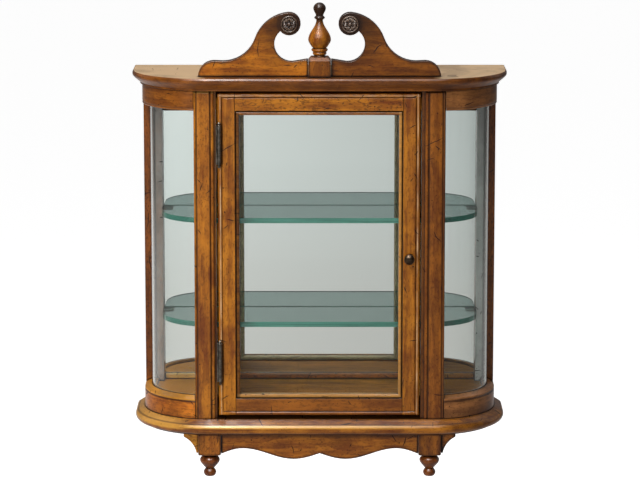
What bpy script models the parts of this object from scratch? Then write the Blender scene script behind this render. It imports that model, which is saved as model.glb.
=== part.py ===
"""Wall curio cabinet: straight front with a glazed door, bent-glass sides, a mirror back and two glass shelves.

Metres, +Z up, front towards -Y. The wall plane is Y = 0. Heights below are measured from the bottom of
the feet; one empty carries them all, so that the origin lies on the back of the hanging rail.
"""
import math
import bmesh
import bpy
from mathutils import Matrix

# Fits
FIT = 0.0003                    # gap between pieces that touch
PLAY = 0.0004                   # running gap in a hinge knuckle and round a shelf pin
ARRIS = 0.0015                  # eased edge
QUIRK = 0.0010                  # narrow groove beside a bead

# Plan of the case
CASE_HALF_WIDTH = 0.2655
SIDE_RADIUS = 0.104             # outer face of the curved rails
FRONT_FACE = 0.155              # stile face, from the wall
STILE_WIDTH = 0.0298
STILE_THICKNESS = 0.020
STILE_OUTER = 0.1853
STILE_BEAD = 0.0052             # on the door side
STILE_OUTER_BEAD = 0.0034       # beside the bent glass
STILE_QUIRK = 0.0014            # groove beside each bead
STEP_DEPTH = 0.0040             # strip beside the door, set back from the face
HINGE_STEP = 0.0028             # its width on the left
LATCH_STEP = 0.0052             # its width on the right
STILE_CHAMFER = 0.0036          # at the top of each stile, under the top board
POST_WIDTH = 0.027
POST_DEPTH = 0.028
RAIL_THICKNESS = 0.018
ARC_STEPS = 14

# Heights of the stack
FOOT_TURNING = [(0.0, 0.0062), (0.0059, 0.0094), (0.0121, 0.0058), (0.0245, 0.0149), (0.0312, 0.0088)]
FOOT_COLLAR_RADIUS = 0.0110
FOOT_COLLAR_HEIGHT = 0.0013
BLOCK_HEIGHT = 0.0332
PLATE_THICKNESS = 0.0027
BASE_THICKNESS = 0.0207
CASE_HEIGHT = 0.493
TOP_THICKNESS = 0.0195

# Mouldings
TOP_OVERHANG = 0.0145
TOP_NOSE_RADIUS = 0.0060
TOP_NOSE_END = 47               # degrees of round above the widest line, up to the flat of the board
TOP_FILLET = 0.0030             # beyond the case
TOP_FILLET_HEIGHT = 0.0026
BASE_OVERHANG = 0.0145
BASE_NOSE_RADIUS = 0.0078
BASE_FILLET = 0.0024            # beyond the case
BASE_FILLET_HEIGHT = 0.0011
PLATE_LIP = 0.004               # plate beyond the case, all round
PLATE_COVE = 0.0018

# Rails of the case
TOP_RAIL_HEIGHT = 0.0295
BOTTOM_RAIL_HEIGHT = 0.0302
RAIL_BEAD = 0.0034              # along the glass side of the curved rails
RAIL_LIP = 0.0040               # rise of a bottom rail from its bead to the glass
HEADER_HEIGHT = 0.0140
HEADER_DEPTH = 0.020
SILL_HEIGHT = 0.0214
FRONT_CLEARANCE = 0.0025        # door back to the rails behind it
BACK_RAIL_THICKNESS = 0.016
HANGING_RAIL_HEIGHT = 0.048
FLOOR_THICKNESS = 0.008

# Back
PANEL_RECESS = 0.001
PANEL_THICKNESS = 0.0045
MIRROR_THICKNESS = 0.004
REBATE_WIDTH = 0.0065
STRIP_HEIGHT = 0.0088
STRIP_THICKNESS = 0.006

# Side glass
GLASS_SET_BACK = 0.011
SIDE_GLASS = 0.003
GROOVE_DEPTH = 0.005

# Door
LATCH_GAP = 0.0020
DOOR_BOTTOM_GAP = 0.0052
DOOR_TOP_GAP = 0.0040
DOOR_THICKNESS = 0.020
DOOR_STILE_WIDTH = 0.0250
DOOR_RAIL_WIDTH = 0.0255
EDGE_BEAD = 0.0062
SIGHT_BEAD = 0.0062
SIGHT_BEAD_DEPTH = 0.009
DOOR_GLASS = 0.003
STOP_WIDTH = 0.0058
STOP_DEPTH = 0.006
KNOB_RADIUS = 0.0078
KNOB_LENGTH = 0.0175
KNOB_RISE = 0.2387              # above the bottom of the door
KNOB_FOOT_RADIUS = 0.0058
KNOB_FOOT_HEIGHT = 0.0012
KNOB_NECK_RADIUS = 0.0033
KNOB_CAP = 0.0050
KNOB_FROM_EDGE = 0.0158

# Hinges
HINGE_LENGTH = 0.058
UPPER_HINGE_DROP = 0.0757       # door top to the middle of the hinge
LOWER_HINGE_RISE = 0.0811       # door bottom to the middle of the hinge
BARREL_RADIUS = 0.0032
PIN_RADIUS = 0.0016
LEAF_THICKNESS = 0.0009
LEAF_GAP = 0.0005               # between the leaves of a closed hinge
LEAF_DEPTH = 0.018
TIP_RADIUS = 0.0023
TIP_NECK = 0.0006               # between the barrel and its ball tip
LEAF_TRIM = 0.0002              # leaf shorter than its barrel at each end

# Catch
CATCH_LENGTH = 0.040
CATCH_HEIGHT = 0.0120
STRIKE_THICKNESS = 0.0014
CATCH_FROM_EDGE = 0.030

# Shelves
SHELF_THICKNESS = 0.0078
SHELF_SIDE_GAP = 0.0007
SHELF_FRONT_GAP = 0.0060        # behind the stiles
SHELF_RADIUS = 0.080
SHELF_MIRROR_GAP = 0.0008
LOWER_PIN_RISE = 0.1023         # above the floor
HOLE_PITCH = 0.0524
SHELF_STEP = 3                  # hole spaces between the two shelves
HOLE_ROW = 7                    # holes in each row
HOLES_BELOW = 1                 # of them below the lower shelf
SHELF_PIN_RADIUS = 0.0025
SHELF_PIN_REACH = 0.0155
HOLE_DEPTH = 0.0105
STILE_PIN_INSET = 0.0145        # from the inner edge of the stile
POST_PIN_INSET = 0.0090         # from the front of the post

# Feet and apron
FOOT_X = 0.1648
BLOCK_WIDTH = 0.034
BLOCK_SET_BACK = 0.0070         # behind the plate's front
BLOCK_CHAMFER = 0.0014
APRON_SET_BACK = 0.0060
APRON_THICKNESS = 0.016
APRON_END_DROP = 0.0318
APRON_CREST_X = 0.1150
APRON_CREST_DROP = 0.0233
APRON_LOW_X = 0.0390
APRON_LOW_DROP = 0.0398
APRON_NOTCH_DROP = 0.0310
BRACKET_DROP = 0.0055
BRACKET_FOOT = 0.0025
BRACKET_LOW_DROP = 0.0305
BRACKET_WIDTH = 0.0215
BRACKET_RADIUS = 0.034

# Pediment
PEDIMENT_SET_BACK = 0.0080      # behind the stile face
PEDIMENT_THICKNESS = 0.016
PEDIMENT_HALF_WIDTH = 0.1785
FINIAL_BLOCK = 0.0332
FINIAL_BLOCK_HEIGHT = 0.0290
FINIAL_CHAMFER = 0.0050
FINIAL_TURNING = [(0.0, 0.0084), (0.0098, 0.0121), (0.0130, 0.0106), (0.0244, 0.0166), (0.0537, 0.0051),
                  (0.0568, 0.0078), (0.0603, 0.0051), (0.0705, 0.0092)]
FINIAL_TIP = 0.0086
EAR_WIDTH = 0.0235
EAR_HEIGHT = 0.0232
SWEEP_X = 0.1418                # concave sweep of the neck
SWEEP_FOOT = 0.0226
NECK_X = 0.0404                 # convex shoulder of the neck
NECK_RADIUS = 0.0579
NECK_TOP = 0.0944
VOLUTE_X = 0.0445
VOLUTE_RADIUS = 0.0168
EYE_X = 0.0410                  # round opening under the volute
EYE_RADIUS = 0.0255
EYE_FOOT = 0.0218
TOE_HEIGHT = 0.0256
ROSETTE_RADIUS = 0.0124
ROSETTE_DEPTH = 0.0070
ROSETTE_PETALS = 6

# Hangers
HANGER_INSET = 0.0585           # from the inner face of the post
HANGER_WIDTH = 0.018
HANGER_HEIGHT = 0.030
HANGER_THICKNESS = 0.002
KEYHOLE_RADIUS = 0.0042
KEYHOLE_SLOT = 0.0044
KEYHOLE_RISE = 0.009
SCREW_POCKET = 0.005

# Levels and planes that follow from the sizes
FOOT_HEIGHT = FOOT_TURNING[-1][0] + FOOT_COLLAR_HEIGHT * 2
Z_BLOCK = FOOT_HEIGHT + FIT
Z_PLATE = Z_BLOCK + BLOCK_HEIGHT + FIT
Z_BASE = Z_PLATE + PLATE_THICKNESS + FIT
Z_CASE = Z_BASE + BASE_THICKNESS + FIT
Z_HEAD = Z_CASE + CASE_HEIGHT
Z_TOP = Z_HEAD + FIT
Z_CREST = Z_TOP + TOP_THICKNESS + FIT
Z_FLOOR = Z_CASE + SILL_HEIGHT + FIT
Z_FLOOR_TOP = Z_FLOOR + FLOOR_THICKNESS
Z_HANGING = Z_HEAD - HANGING_RAIL_HEIGHT
Z_ORIGIN = Z_HEAD - HANGING_RAIL_HEIGHT / 2

STILE_INNER = STILE_OUTER - STILE_WIDTH
STILE_PIN_X = STILE_INNER + STILE_PIN_INSET
POST_PIN_Y = POST_DEPTH - POST_PIN_INSET
PLATE_FRONT = FRONT_FACE + PLATE_LIP
BLOCK_FRONT = PLATE_FRONT - BLOCK_SET_BACK
PEDIMENT_FRONT = FRONT_FACE - PEDIMENT_SET_BACK
LOWER_PIN_HEIGHT = Z_FLOOR_TOP + LOWER_PIN_RISE
STILE_BACK = FRONT_FACE - STILE_THICKNESS
POST_INNER = CASE_HALF_WIDTH - POST_WIDTH
HANGER_X = POST_INNER - HANGER_INSET
SHELF_HALF_WIDTH = POST_INNER - SHELF_SIDE_GAP
SHELF_FRONT = STILE_BACK - SHELF_FRONT_GAP
ARC_X = CASE_HALF_WIDTH - SIDE_RADIUS
ARC_Y = math.sqrt(SIDE_RADIUS ** 2 - (STILE_OUTER - ARC_X) ** 2) - FRONT_FACE

MIRROR_BACK = PANEL_RECESS + PANEL_THICKNESS + FIT
MIRROR_FRONT = MIRROR_BACK + MIRROR_THICKNESS
REBATE_DEPTH = MIRROR_FRONT + FIT

HINGE_GAP = 2 * (FIT + LEAF_THICKNESS) + LEAF_GAP
HINGE_FACE = HINGE_STEP - STILE_INNER
DOOR_LEFT = HINGE_FACE + HINGE_GAP
DOOR_RIGHT = STILE_INNER - LATCH_STEP - LATCH_GAP
DOOR_BOTTOM = Z_CASE + DOOR_BOTTOM_GAP
DOOR_TOP = Z_HEAD - DOOR_TOP_GAP
DOOR_BACK = FRONT_FACE - DOOR_THICKNESS
DOOR_REBATE = {
    "left": DOOR_LEFT + DOOR_STILE_WIDTH,
    "right": DOOR_RIGHT - DOOR_STILE_WIDTH,
    "bottom": DOOR_BOTTOM + DOOR_RAIL_WIDTH,
    "top": DOOR_TOP - DOOR_RAIL_WIDTH,
}
HINGE_HEIGHTS = {"upper": DOOR_TOP - UPPER_HINGE_DROP, "lower": DOOR_BOTTOM + LOWER_HINGE_RISE}
KNOB_HEIGHT = DOOR_BOTTOM + KNOB_RISE
AXIS_X = DOOR_LEFT - FIT - LEAF_THICKNESS + BARREL_RADIUS
AXIS_Y = -FRONT_FACE - FIT - BARREL_RADIUS


def finish(name, bm, material, parent, offset=(0, 0, 0), smooth=None):
    """Turn a bmesh into a named object under a parent, with its faces pointing out."""
    bmesh.ops.remove_doubles(bm, verts=bm.verts, dist=1e-7)
    bmesh.ops.recalc_face_normals(bm, faces=bm.faces)
    mesh = bpy.data.meshes.new(name)
    bm.to_mesh(mesh)
    bm.free()
    if smooth:
        mesh.shade_smooth()
        mesh.set_sharp_from_angle(angle=math.radians(smooth))
    obj = bpy.data.objects.new(name, mesh)
    bpy.context.collection.objects.link(obj)
    obj.parent = parent
    obj.location = offset
    if material:
        mesh.materials.append(material)
    return obj


def material(name, colour, roughness, metallic=0.0):
    mat = bpy.data.materials.new(name)
    mat.use_nodes = True
    shader = mat.node_tree.nodes["Principled BSDF"]
    shader.inputs["Base Color"].default_value = (*colour, 1.0)
    shader.inputs["Roughness"].default_value = roughness
    shader.inputs["Metallic"].default_value = metallic
    mat.diffuse_color = (*colour, 1.0)
    return mat


def loft(rings, closed_path=False):
    """Skin rings of equal point count. An open loft is capped at both ends."""
    bm = bmesh.new()
    loops = [[bm.verts.new(p) for p in ring] for ring in rings]
    count = len(loops[0])
    pairs = list(zip(loops, loops[1:]))
    if closed_path:
        pairs.append((loops[-1], loops[0]))
    for low, high in pairs:
        for i in range(count):
            j = (i + 1) % count
            bm.faces.new((low[i], low[j], high[j], high[i]))
    if not closed_path:
        bm.faces.new(loops[0])
        bm.faces.new(loops[-1])
    return bm


def block(x, y, z):
    """Box between pairs of limits."""
    plan = [(x[0], y[0]), (x[1], y[0]), (x[1], y[1]), (x[0], y[1])]
    return loft([[(px, py, h) for px, py in plan] for h in z])


def upright(plan, z):
    """Extrude a plan outline from one height to another."""
    return loft([[(x, y, h) for x, y in plan] for h in z])


def board(outline, y):
    """Extrude a front outline (x, z) through a thickness."""
    return loft([[(x, depth, z) for x, z in outline] for depth in y])


def turned(profile, steps, axis="Z"):
    """Revolve (height, radius) pairs. A zero radius closes the end in a point."""
    bm = bmesh.new()
    loops = []
    for height, radius in profile:
        ring = []
        for k in range(steps if radius > 0 else 1):
            a = math.tau * k / steps
            u, v = radius * math.cos(a), radius * math.sin(a)
            ring.append(bm.verts.new((u, v, height) if axis == "Z" else (u, -height, v)))
        loops.append(ring)
    for low, high in zip(loops, loops[1:]):
        for k in range(steps):
            n = (k + 1) % steps
            corners = [low[k % len(low)], low[n % len(low)], high[n % len(high)], high[k % len(high)]]
            bm.faces.new(list(dict.fromkeys(corners)))
    for ring in (loops[0], loops[-1]):
        if len(ring) > 1:
            bm.faces.new(ring)
    return bm


def eased(knots, steps):
    """Turned profile through (height, radius) knots, level at each knot as beads and necks are."""
    profile = [knots[0]]
    for (h0, r0), (h1, r1) in zip(knots, knots[1:]):
        for k in range(1, steps + 1):
            t = k / steps
            profile.append((h0 + (h1 - h0) * t, r0 + (r1 - r0) * (1 - math.cos(math.pi * t)) / 2))
    return profile


def dome(height, radius, rise, steps):
    """Quarter-ellipse profile that closes a turning in a round end."""
    angles = [math.pi / 2 * k / steps for k in range(1, steps + 1)]
    end = [(height + rise * math.sin(a), radius * math.cos(a)) for a in angles[:-1]]
    return end + [(height + rise, 0.0)]


def arc(cx, cy, radius, start, stop, steps):
    angles = [math.radians(start + (stop - start) * k / steps) for k in range(steps + 1)]
    return [(cx + radius * math.cos(a), cy + radius * math.sin(a)) for a in angles]


def slope_angle(nose, radius, point):
    """Angle on a round nose where a straight slope from a point runs into it."""
    across, up = point[0] - nose[0], point[1] - nose[1]
    swing = math.acos(min(1.0, radius / math.hypot(across, up)))
    return math.degrees(math.atan2(up, across) - math.copysign(swing, up))


def mirrored(points, side):
    return [(side * x, *rest) for x, *rest in points]


def case_plan(offset, back=0.0):
    """Outline of the case grown by an offset: square at the wall, rounded at the front corners."""
    radius = SIDE_RADIUS + offset
    right = [(ARC_X + radius, back)] + arc(ARC_X, ARC_Y, radius, 0, -90, ARC_STEPS)
    return right + [(-x, y) for x, y in reversed(right)]


def side_path(offset, back, end_x):
    """Plan line of the right side: straight from the post, then an arc that ends at the stile."""
    radius = SIDE_RADIUS + offset
    stop = math.degrees(math.acos((end_x - ARC_X) / radius))
    return [(ARC_X + radius, back)] + arc(ARC_X, ARC_Y, radius, 0, -stop, ARC_STEPS)


def curved_bar(section, back, end_x, side):
    """Sweep a section of (offset, z) points along the side of the case."""
    paths = [side_path(offset, back, end_x) for offset, z in section]
    rings = []
    for k in range(ARC_STEPS + 2):
        ring = [(side * path[k][0], path[k][1], z) for path, (offset, z) in zip(paths, section)]
        rings.append(ring)
    return loft(rings)


def frame_ring(section, limits):
    """Sweep (inset, y) points round a rectangle, with mitred corners."""
    corners = [("left", "bottom"), ("right", "bottom"), ("right", "top"), ("left", "top")]
    inward = {"left": 1, "right": -1, "bottom": 1, "top": -1}
    rings = []
    for cx, cz in corners:
        ring = []
        for inset, y in section:
            ring.append((limits[cx] + inward[cx] * inset, y, limits[cz] + inward[cz] * inset))
        rings.append(ring)
    return loft(rings, closed_path=True)


def ease_edges(obj, width, angle=40, segments=1):
    bevel = obj.modifiers.new("eased edges", "BEVEL")
    bevel.width = width
    bevel.segments = segments
    bevel.limit_method = "ANGLE"
    bevel.angle_limit = math.radians(angle)
    return obj


def combine(obj, tool, operation):
    """Boolean with a hidden helper object."""
    tool.hide_render = True
    tool.display_type = "WIRE"
    modifier = obj.modifiers.new(operation.lower(), "BOOLEAN")
    modifier.operation = operation
    modifier.solver = "EXACT"
    modifier.object = tool
    return obj


for old in list(bpy.data.objects):
    bpy.data.objects.remove(old, do_unlink=True)

WOOD = material("amber_wood", (0.36, 0.13, 0.030), 0.35)
DARK_WOOD = material("dark_wood", (0.16, 0.055, 0.020), 0.35)
INNER_WOOD = material("inner_wood", (0.22, 0.11, 0.045), 0.55)
GLASS = material("clear_glass", (0.80, 0.88, 0.85), 0.03)
SHELF_GLASS = material("shelf_glass", (0.45, 0.72, 0.64), 0.03)
MIRROR = material("mirror", (0.82, 0.86, 0.84), 0.03, 1.0)
BRONZE = material("dark_bronze", (0.055, 0.042, 0.030), 0.38, 1.0)
STEEL = material("plated_steel", (0.55, 0.55, 0.53), 0.35, 1.0)
PLASTIC = material("brown_plastic", (0.09, 0.045, 0.025), 0.45)

case = bpy.data.objects.new("case_frame", None)
case.location = (0, 0, -Z_ORIGIN)
bpy.context.collection.objects.link(case)
door_axis = bpy.data.objects.new("door_axis", None)
door_axis.location = (AXIS_X, AXIS_Y, 0)
door_axis.parent = case
bpy.context.collection.objects.link(door_axis)
DOOR = (-AXIS_X, -AXIS_Y, 0)

# Base board: a round nose that slopes up to a small fillet, on the rounded plan of the case
nose = (BASE_OVERHANG - BASE_NOSE_RADIUS, Z_BASE + BASE_NOSE_RADIUS)
base_top = Z_BASE + BASE_THICKNESS
fillet = (BASE_FILLET, base_top - BASE_FILLET_HEIGHT)
section = arc(*nose, BASE_NOSE_RADIUS, -90, slope_angle(nose, BASE_NOSE_RADIUS, fillet), 10)
section += [fillet, (BASE_FILLET, base_top)]
rings = [[(x, y, z) for x, y in case_plan(offset)] for offset, z in section]
finish("base_board", loft(rings), WOOD, case, smooth=35)

# Plate under the base, eased on its lower edge, with the rounded plan of the case
section = [(PLATE_COVE, 0.0), (PLATE_COVE * 0.35, 0.35), (0.0, 0.8), (0.0, 1.0)]
rings = [[(x, y, Z_PLATE + PLATE_THICKNESS * share) for x, y in case_plan(PLATE_LIP - inset)]
         for inset, share in section]
finish("base_plate", loft(rings), DARK_WOOD, case, smooth=35)

# Front stiles: glass groove on the outer side, a bead on both edges of the face, a strip set back beside the door
groove_out = ARC_Y - math.sqrt((SIDE_RADIUS - GLASS_SET_BACK) ** 2
                               - (STILE_OUTER - GROOVE_DEPTH - ARC_X) ** 2) - FIT
groove_in = ARC_Y - math.sqrt((SIDE_RADIUS - GLASS_SET_BACK - SIDE_GLASS) ** 2
                              - (STILE_OUTER - ARC_X) ** 2) + FIT
bead_r = STILE_BEAD / 2
bead = arc(STILE_INNER + bead_r, -FRONT_FACE + bead_r, bead_r, 180, 330, 6)
stile = [(STILE_OUTER, -STILE_BACK), (STILE_OUTER, groove_in), (STILE_OUTER - GROOVE_DEPTH, groove_in),
         (STILE_OUTER - GROOVE_DEPTH, groove_out), (STILE_OUTER, groove_out)]
outer_r = STILE_OUTER_BEAD / 2
stile += arc(STILE_OUTER - outer_r, -FRONT_FACE + outer_r, outer_r, 0, -150, 5)
stile += [(STILE_OUTER - STILE_OUTER_BEAD - STILE_QUIRK, -FRONT_FACE)]
stile += [(STILE_INNER + STILE_BEAD + STILE_QUIRK, -FRONT_FACE)]
stile += list(reversed(bead))


def stile_levels(step):
    """Plans of a stile from its foot to its chamfered head."""
    plan = stile + [(STILE_INNER, STEP_DEPTH - FRONT_FACE), (STILE_INNER - step, STEP_DEPTH - FRONT_FACE),
                    (STILE_INNER - step, -STILE_BACK)]
    head = [(x, max(y, STILE_CHAMFER - FRONT_FACE)) for x, y in plan]
    return [(plan, Z_CASE), (plan, Z_HEAD - STILE_CHAMFER), (head, Z_HEAD)]



# Back posts: glass groove in front, rebate for mirror and panel behind
glass_out = CASE_HALF_WIDTH - GLASS_SET_BACK + FIT
glass_in = CASE_HALF_WIDTH - GLASS_SET_BACK - SIDE_GLASS - FIT
post = [(CASE_HALF_WIDTH, 0), (CASE_HALF_WIDTH, -POST_DEPTH + ARRIS),
        (CASE_HALF_WIDTH - ARRIS, -POST_DEPTH), (glass_out, -POST_DEPTH),
        (glass_out, -POST_DEPTH + GROOVE_DEPTH), (glass_in, -POST_DEPTH + GROOVE_DEPTH),
        (glass_in, -POST_DEPTH), (POST_INNER, -POST_DEPTH), (POST_INNER, -REBATE_DEPTH),
        (POST_INNER + REBATE_WIDTH, -REBATE_DEPTH), (POST_INNER + REBATE_WIDTH, 0)]

# Rows of shelf-pin holes run up the stiles' backs and the posts' inner faces
hole_heights = [LOWER_PIN_HEIGHT + HOLE_PITCH * (k - HOLES_BELOW) for k in range(HOLE_ROW)]
HOLE_RADIUS = SHELF_PIN_RADIUS + PLAY


def pin_holes(name, side, along):
    """Cutter: a row of pegs, joined in one mesh."""
    bm = bmesh.new()
    for z in hole_heights:
        rim = arc(0, 0, HOLE_RADIUS, 0, 330, 11)
        if along == "Y":
            ends = (-STILE_BACK - HOLE_DEPTH, -STILE_BACK + HOLE_DEPTH)
            rings = [[(side * STILE_PIN_X + u, e, z + v) for u, v in rim] for e in ends]
        else:
            ends = (POST_INNER - HOLE_DEPTH, POST_INNER + HOLE_DEPTH)
            rings = [[(side * e, -POST_PIN_Y + u, z + v) for u, v in rim] for e in ends]
        peg = loft(rings)
        part = bpy.data.meshes.new("peg")
        peg.to_mesh(part)
        peg.free()
        bm.from_mesh(part)
        bpy.data.meshes.remove(part)
    return finish(name, bm, None, case)


for side, name, step in ((-1, "left", HINGE_STEP), (1, "right", LATCH_STEP)):
    rings = [[(side * x, y, z) for x, y in plan] for plan, z in stile_levels(step)]
    piece = finish(f"front_stile_{name}", loft(rings), WOOD, case, smooth=30)
    combine(piece, pin_holes(f"stile_holes_{name}", side, "Y"), "DIFFERENCE")
    piece = finish(f"back_post_{name}", upright(mirrored(post, side), (Z_CASE, Z_HEAD)), WOOD, case)
    combine(piece, pin_holes(f"post_holes_{name}", side, "X"), "DIFFERENCE")

# Curved rails between post and stile: a bead along the glass side, a groove for the glass, and on the bottom
# rails an upper face that rises from the bead to the glass
rail_r = RAIL_BEAD / 2
groove_a = -GLASS_SET_BACK + FIT
groove_b = -GLASS_SET_BACK - SIDE_GLASS - FIT
z_low = Z_CASE + BOTTOM_RAIL_HEIGHT
z_lip = z_low + RAIL_LIP
low_section = [(0, Z_CASE), (0, z_low - RAIL_BEAD - QUIRK)]
low_section += arc(-rail_r, z_low - rail_r, rail_r, -60, 90, 5)
low_section += [(groove_a, z_lip), (groove_a, z_low - GROOVE_DEPTH), (groove_b, z_low - GROOVE_DEPTH),
                (groove_b, z_lip), (-RAIL_THICKNESS, z_lip), (-RAIL_THICKNESS, Z_CASE)]
z_high = Z_HEAD - TOP_RAIL_HEIGHT
high_section = [(0, Z_HEAD), (0, z_high + RAIL_BEAD + QUIRK)]
high_section += arc(-rail_r, z_high + rail_r, rail_r, 60, -90, 5)
high_section += [(groove_a, z_high), (groove_a, z_high + GROOVE_DEPTH), (groove_b, z_high + GROOVE_DEPTH),
                 (groove_b, z_high), (-RAIL_THICKNESS, z_high), (-RAIL_THICKNESS, Z_HEAD)]
glass_z = (z_low - GROOVE_DEPTH + FIT, z_high + GROOVE_DEPTH - FIT)
glass_section = [(-GLASS_SET_BACK, glass_z[0]), (-GLASS_SET_BACK, glass_z[1]),
                 (-GLASS_SET_BACK - SIDE_GLASS, glass_z[1]), (-GLASS_SET_BACK - SIDE_GLASS, glass_z[0])]
for side, name in ((-1, "left"), (1, "right")):
    rail_back = -POST_DEPTH - FIT
    rail_end = STILE_OUTER + FIT
    finish(f"bottom_rail_{name}", curved_bar(low_section, rail_back, rail_end, side), WOOD, case, smooth=30)
    finish(f"top_rail_{name}", curved_bar(high_section, rail_back, rail_end, side), WOOD, case, smooth=30)
    glass_back = -POST_DEPTH + GROOVE_DEPTH - FIT
    glass_end = STILE_OUTER - GROOVE_DEPTH + FIT
    finish(f"side_glass_{name}", curved_bar(glass_section, glass_back, glass_end, side), GLASS, case, smooth=30)

# Rails behind the door, floor, back
rail_y = (-DOOR_BACK + FRONT_CLEARANCE, -DOOR_BACK + FRONT_CLEARANCE + HEADER_DEPTH)
finish("header_rail", block((-STILE_OUTER, STILE_OUTER), rail_y, (Z_HEAD - HEADER_HEIGHT, Z_HEAD)), INNER_WOOD, case)
finish("sill_rail", block((-STILE_OUTER, STILE_OUTER), rail_y, (Z_CASE, Z_CASE + SILL_HEIGHT)), INNER_WOOD, case)
inner_x = POST_INNER - FIT
finish("back_bottom_rail", block((-inner_x, inner_x), (0, -BACK_RAIL_THICKNESS), (Z_CASE, Z_CASE + SILL_HEIGHT)),
       INNER_WOOD, case)

floor_radius = SIDE_RADIUS - RAIL_THICKNESS - FIT
floor_front = DOOR_BACK - FRONT_CLEARANCE
floor_stop = math.degrees(math.asin((floor_front + ARC_Y) / floor_radius))
floor = [(inner_x, -REBATE_DEPTH - FIT), (inner_x, -POST_DEPTH - FIT), (ARC_X + floor_radius, -POST_DEPTH - FIT)]
floor += arc(ARC_X, ARC_Y, floor_radius, 0, -floor_stop, ARC_STEPS)
floor += [(-x, y) for x, y in reversed(floor)]
finish("floor_panel", upright(floor, (Z_FLOOR, Z_FLOOR_TOP)), INNER_WOOD, case)

rebate_z = Z_HANGING + REBATE_WIDTH
hang_section = [(0, Z_HEAD), (0, rebate_z), (-REBATE_DEPTH, rebate_z), (-REBATE_DEPTH, Z_HANGING),
                (-BACK_RAIL_THICKNESS, Z_HANGING), (-BACK_RAIL_THICKNESS, Z_HEAD)]
hanging = finish("hanging_rail", loft([[(x, y, z) for y, z in hang_section] for x in (-inner_x, inner_x)]),
                 INNER_WOOD, case)
back_x = POST_INNER + REBATE_WIDTH - FIT
back_z = (Z_FLOOR, rebate_z - FIT)
finish("back_panel", block((-back_x, back_x), (-PANEL_RECESS, -PANEL_RECESS - PANEL_THICKNESS), back_z),
       INNER_WOOD, case)
finish("mirror", block((-back_x, back_x), (-MIRROR_BACK, -MIRROR_FRONT), back_z), MIRROR, case)
strip_y = -MIRROR_FRONT - FIT
strip = finish("mirror_strip", block((-inner_x, inner_x), (strip_y, strip_y - STRIP_THICKNESS),
                                     (Z_FLOOR_TOP + FIT, Z_FLOOR_TOP + FIT + STRIP_HEIGHT)), INNER_WOOD, case)
ease_edges(strip, ARRIS)

# Keyhole hangers let into the hanging rail
hanger_z = Z_ORIGIN
for side, name in ((-1, "left"), (1, "right")):
    x0 = side * HANGER_X
    half = HANGER_WIDTH / 2
    high = HANGER_HEIGHT / 2
    pocket = finish(f"hanger_pocket_{name}",
                    block((x0 - half - FIT, x0 + half + FIT), (SCREW_POCKET, -HANGER_THICKNESS - FIT),
                          (hanger_z - high - FIT, hanger_z + high + FIT)), None, case)
    combine(hanging, pocket, "DIFFERENCE")
    screw_room = finish(f"screw_room_{name}",
                        block((x0 - KEYHOLE_RADIUS, x0 + KEYHOLE_RADIUS),
                              (SCREW_POCKET, -HANGER_THICKNESS - SCREW_POCKET),
                              (hanger_z - KEYHOLE_RISE, hanger_z + KEYHOLE_RISE)), None, case)
    combine(hanging, screw_room, "DIFFERENCE")
    plate = finish(f"hanger_{name}", block((x0 - half, x0 + half), (0, -HANGER_THICKNESS),
                                           (hanger_z - high, hanger_z + high)), STEEL, case)
    slot_half = KEYHOLE_SLOT / 2
    hole_z = hanger_z - KEYHOLE_RISE / 2
    rim = math.degrees(math.asin(slot_half / KEYHOLE_RADIUS))
    keyhole = arc(x0, hole_z, KEYHOLE_RADIUS, 90 + rim, 450 - rim, 16)
    keyhole += arc(x0, hole_z + KEYHOLE_RISE, slot_half, 0, 180, 8)
    cutter = finish(f"keyhole_{name}", board(keyhole, (HANGER_THICKNESS, -2 * HANGER_THICKNESS)), None, case)
    combine(plate, cutter, "DIFFERENCE")

# Top board: a round nose that slopes in to a fillet on the case
nose_drop = TOP_NOSE_RADIUS * math.sin(math.radians(TOP_NOSE_END))
nose = (TOP_OVERHANG - TOP_NOSE_RADIUS, Z_TOP + TOP_THICKNESS - nose_drop)
fillet = (TOP_FILLET, Z_TOP + TOP_FILLET_HEIGHT)
section = [(TOP_FILLET, Z_TOP), fillet]
section += arc(*nose, TOP_NOSE_RADIUS, slope_angle(nose, TOP_NOSE_RADIUS, fillet), TOP_NOSE_END, 9)
rings = [[(x, y, z) for x, y in case_plan(offset)] for offset, z in section]
finish("top_board", loft(rings), WOOD, case, smooth=35)

# Foot blocks, feet, apron, brackets
foot_y = -BLOCK_FRONT + BLOCK_WIDTH / 2
block_half = BLOCK_WIDTH / 2
apron_top = Z_BLOCK + BLOCK_HEIGHT
for side, name in ((-1, "left"), (1, "right")):
    x0 = side * FOOT_X
    piece = finish(f"foot_block_{name}",
                   block((x0 - block_half, x0 + block_half), (foot_y - block_half, foot_y + block_half),
                         (Z_BLOCK, apron_top)), WOOD, case)
    ease_edges(piece, BLOCK_CHAMFER)
    profile = eased(FOOT_TURNING, 4)
    profile += [(FOOT_HEIGHT - FOOT_COLLAR_HEIGHT, FOOT_COLLAR_RADIUS), (FOOT_HEIGHT, FOOT_COLLAR_RADIUS)]
    finish(f"foot_{name}", turned(profile, 22), WOOD, case, offset=(x0, foot_y, 0), smooth=35)

apron_end = FOOT_X - block_half - FIT
end_z = apron_top - APRON_END_DROP
crest_z = apron_top - APRON_CREST_DROP
low_z = apron_top - APRON_LOW_DROP
notch_z = apron_top - APRON_NOTCH_DROP


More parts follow.
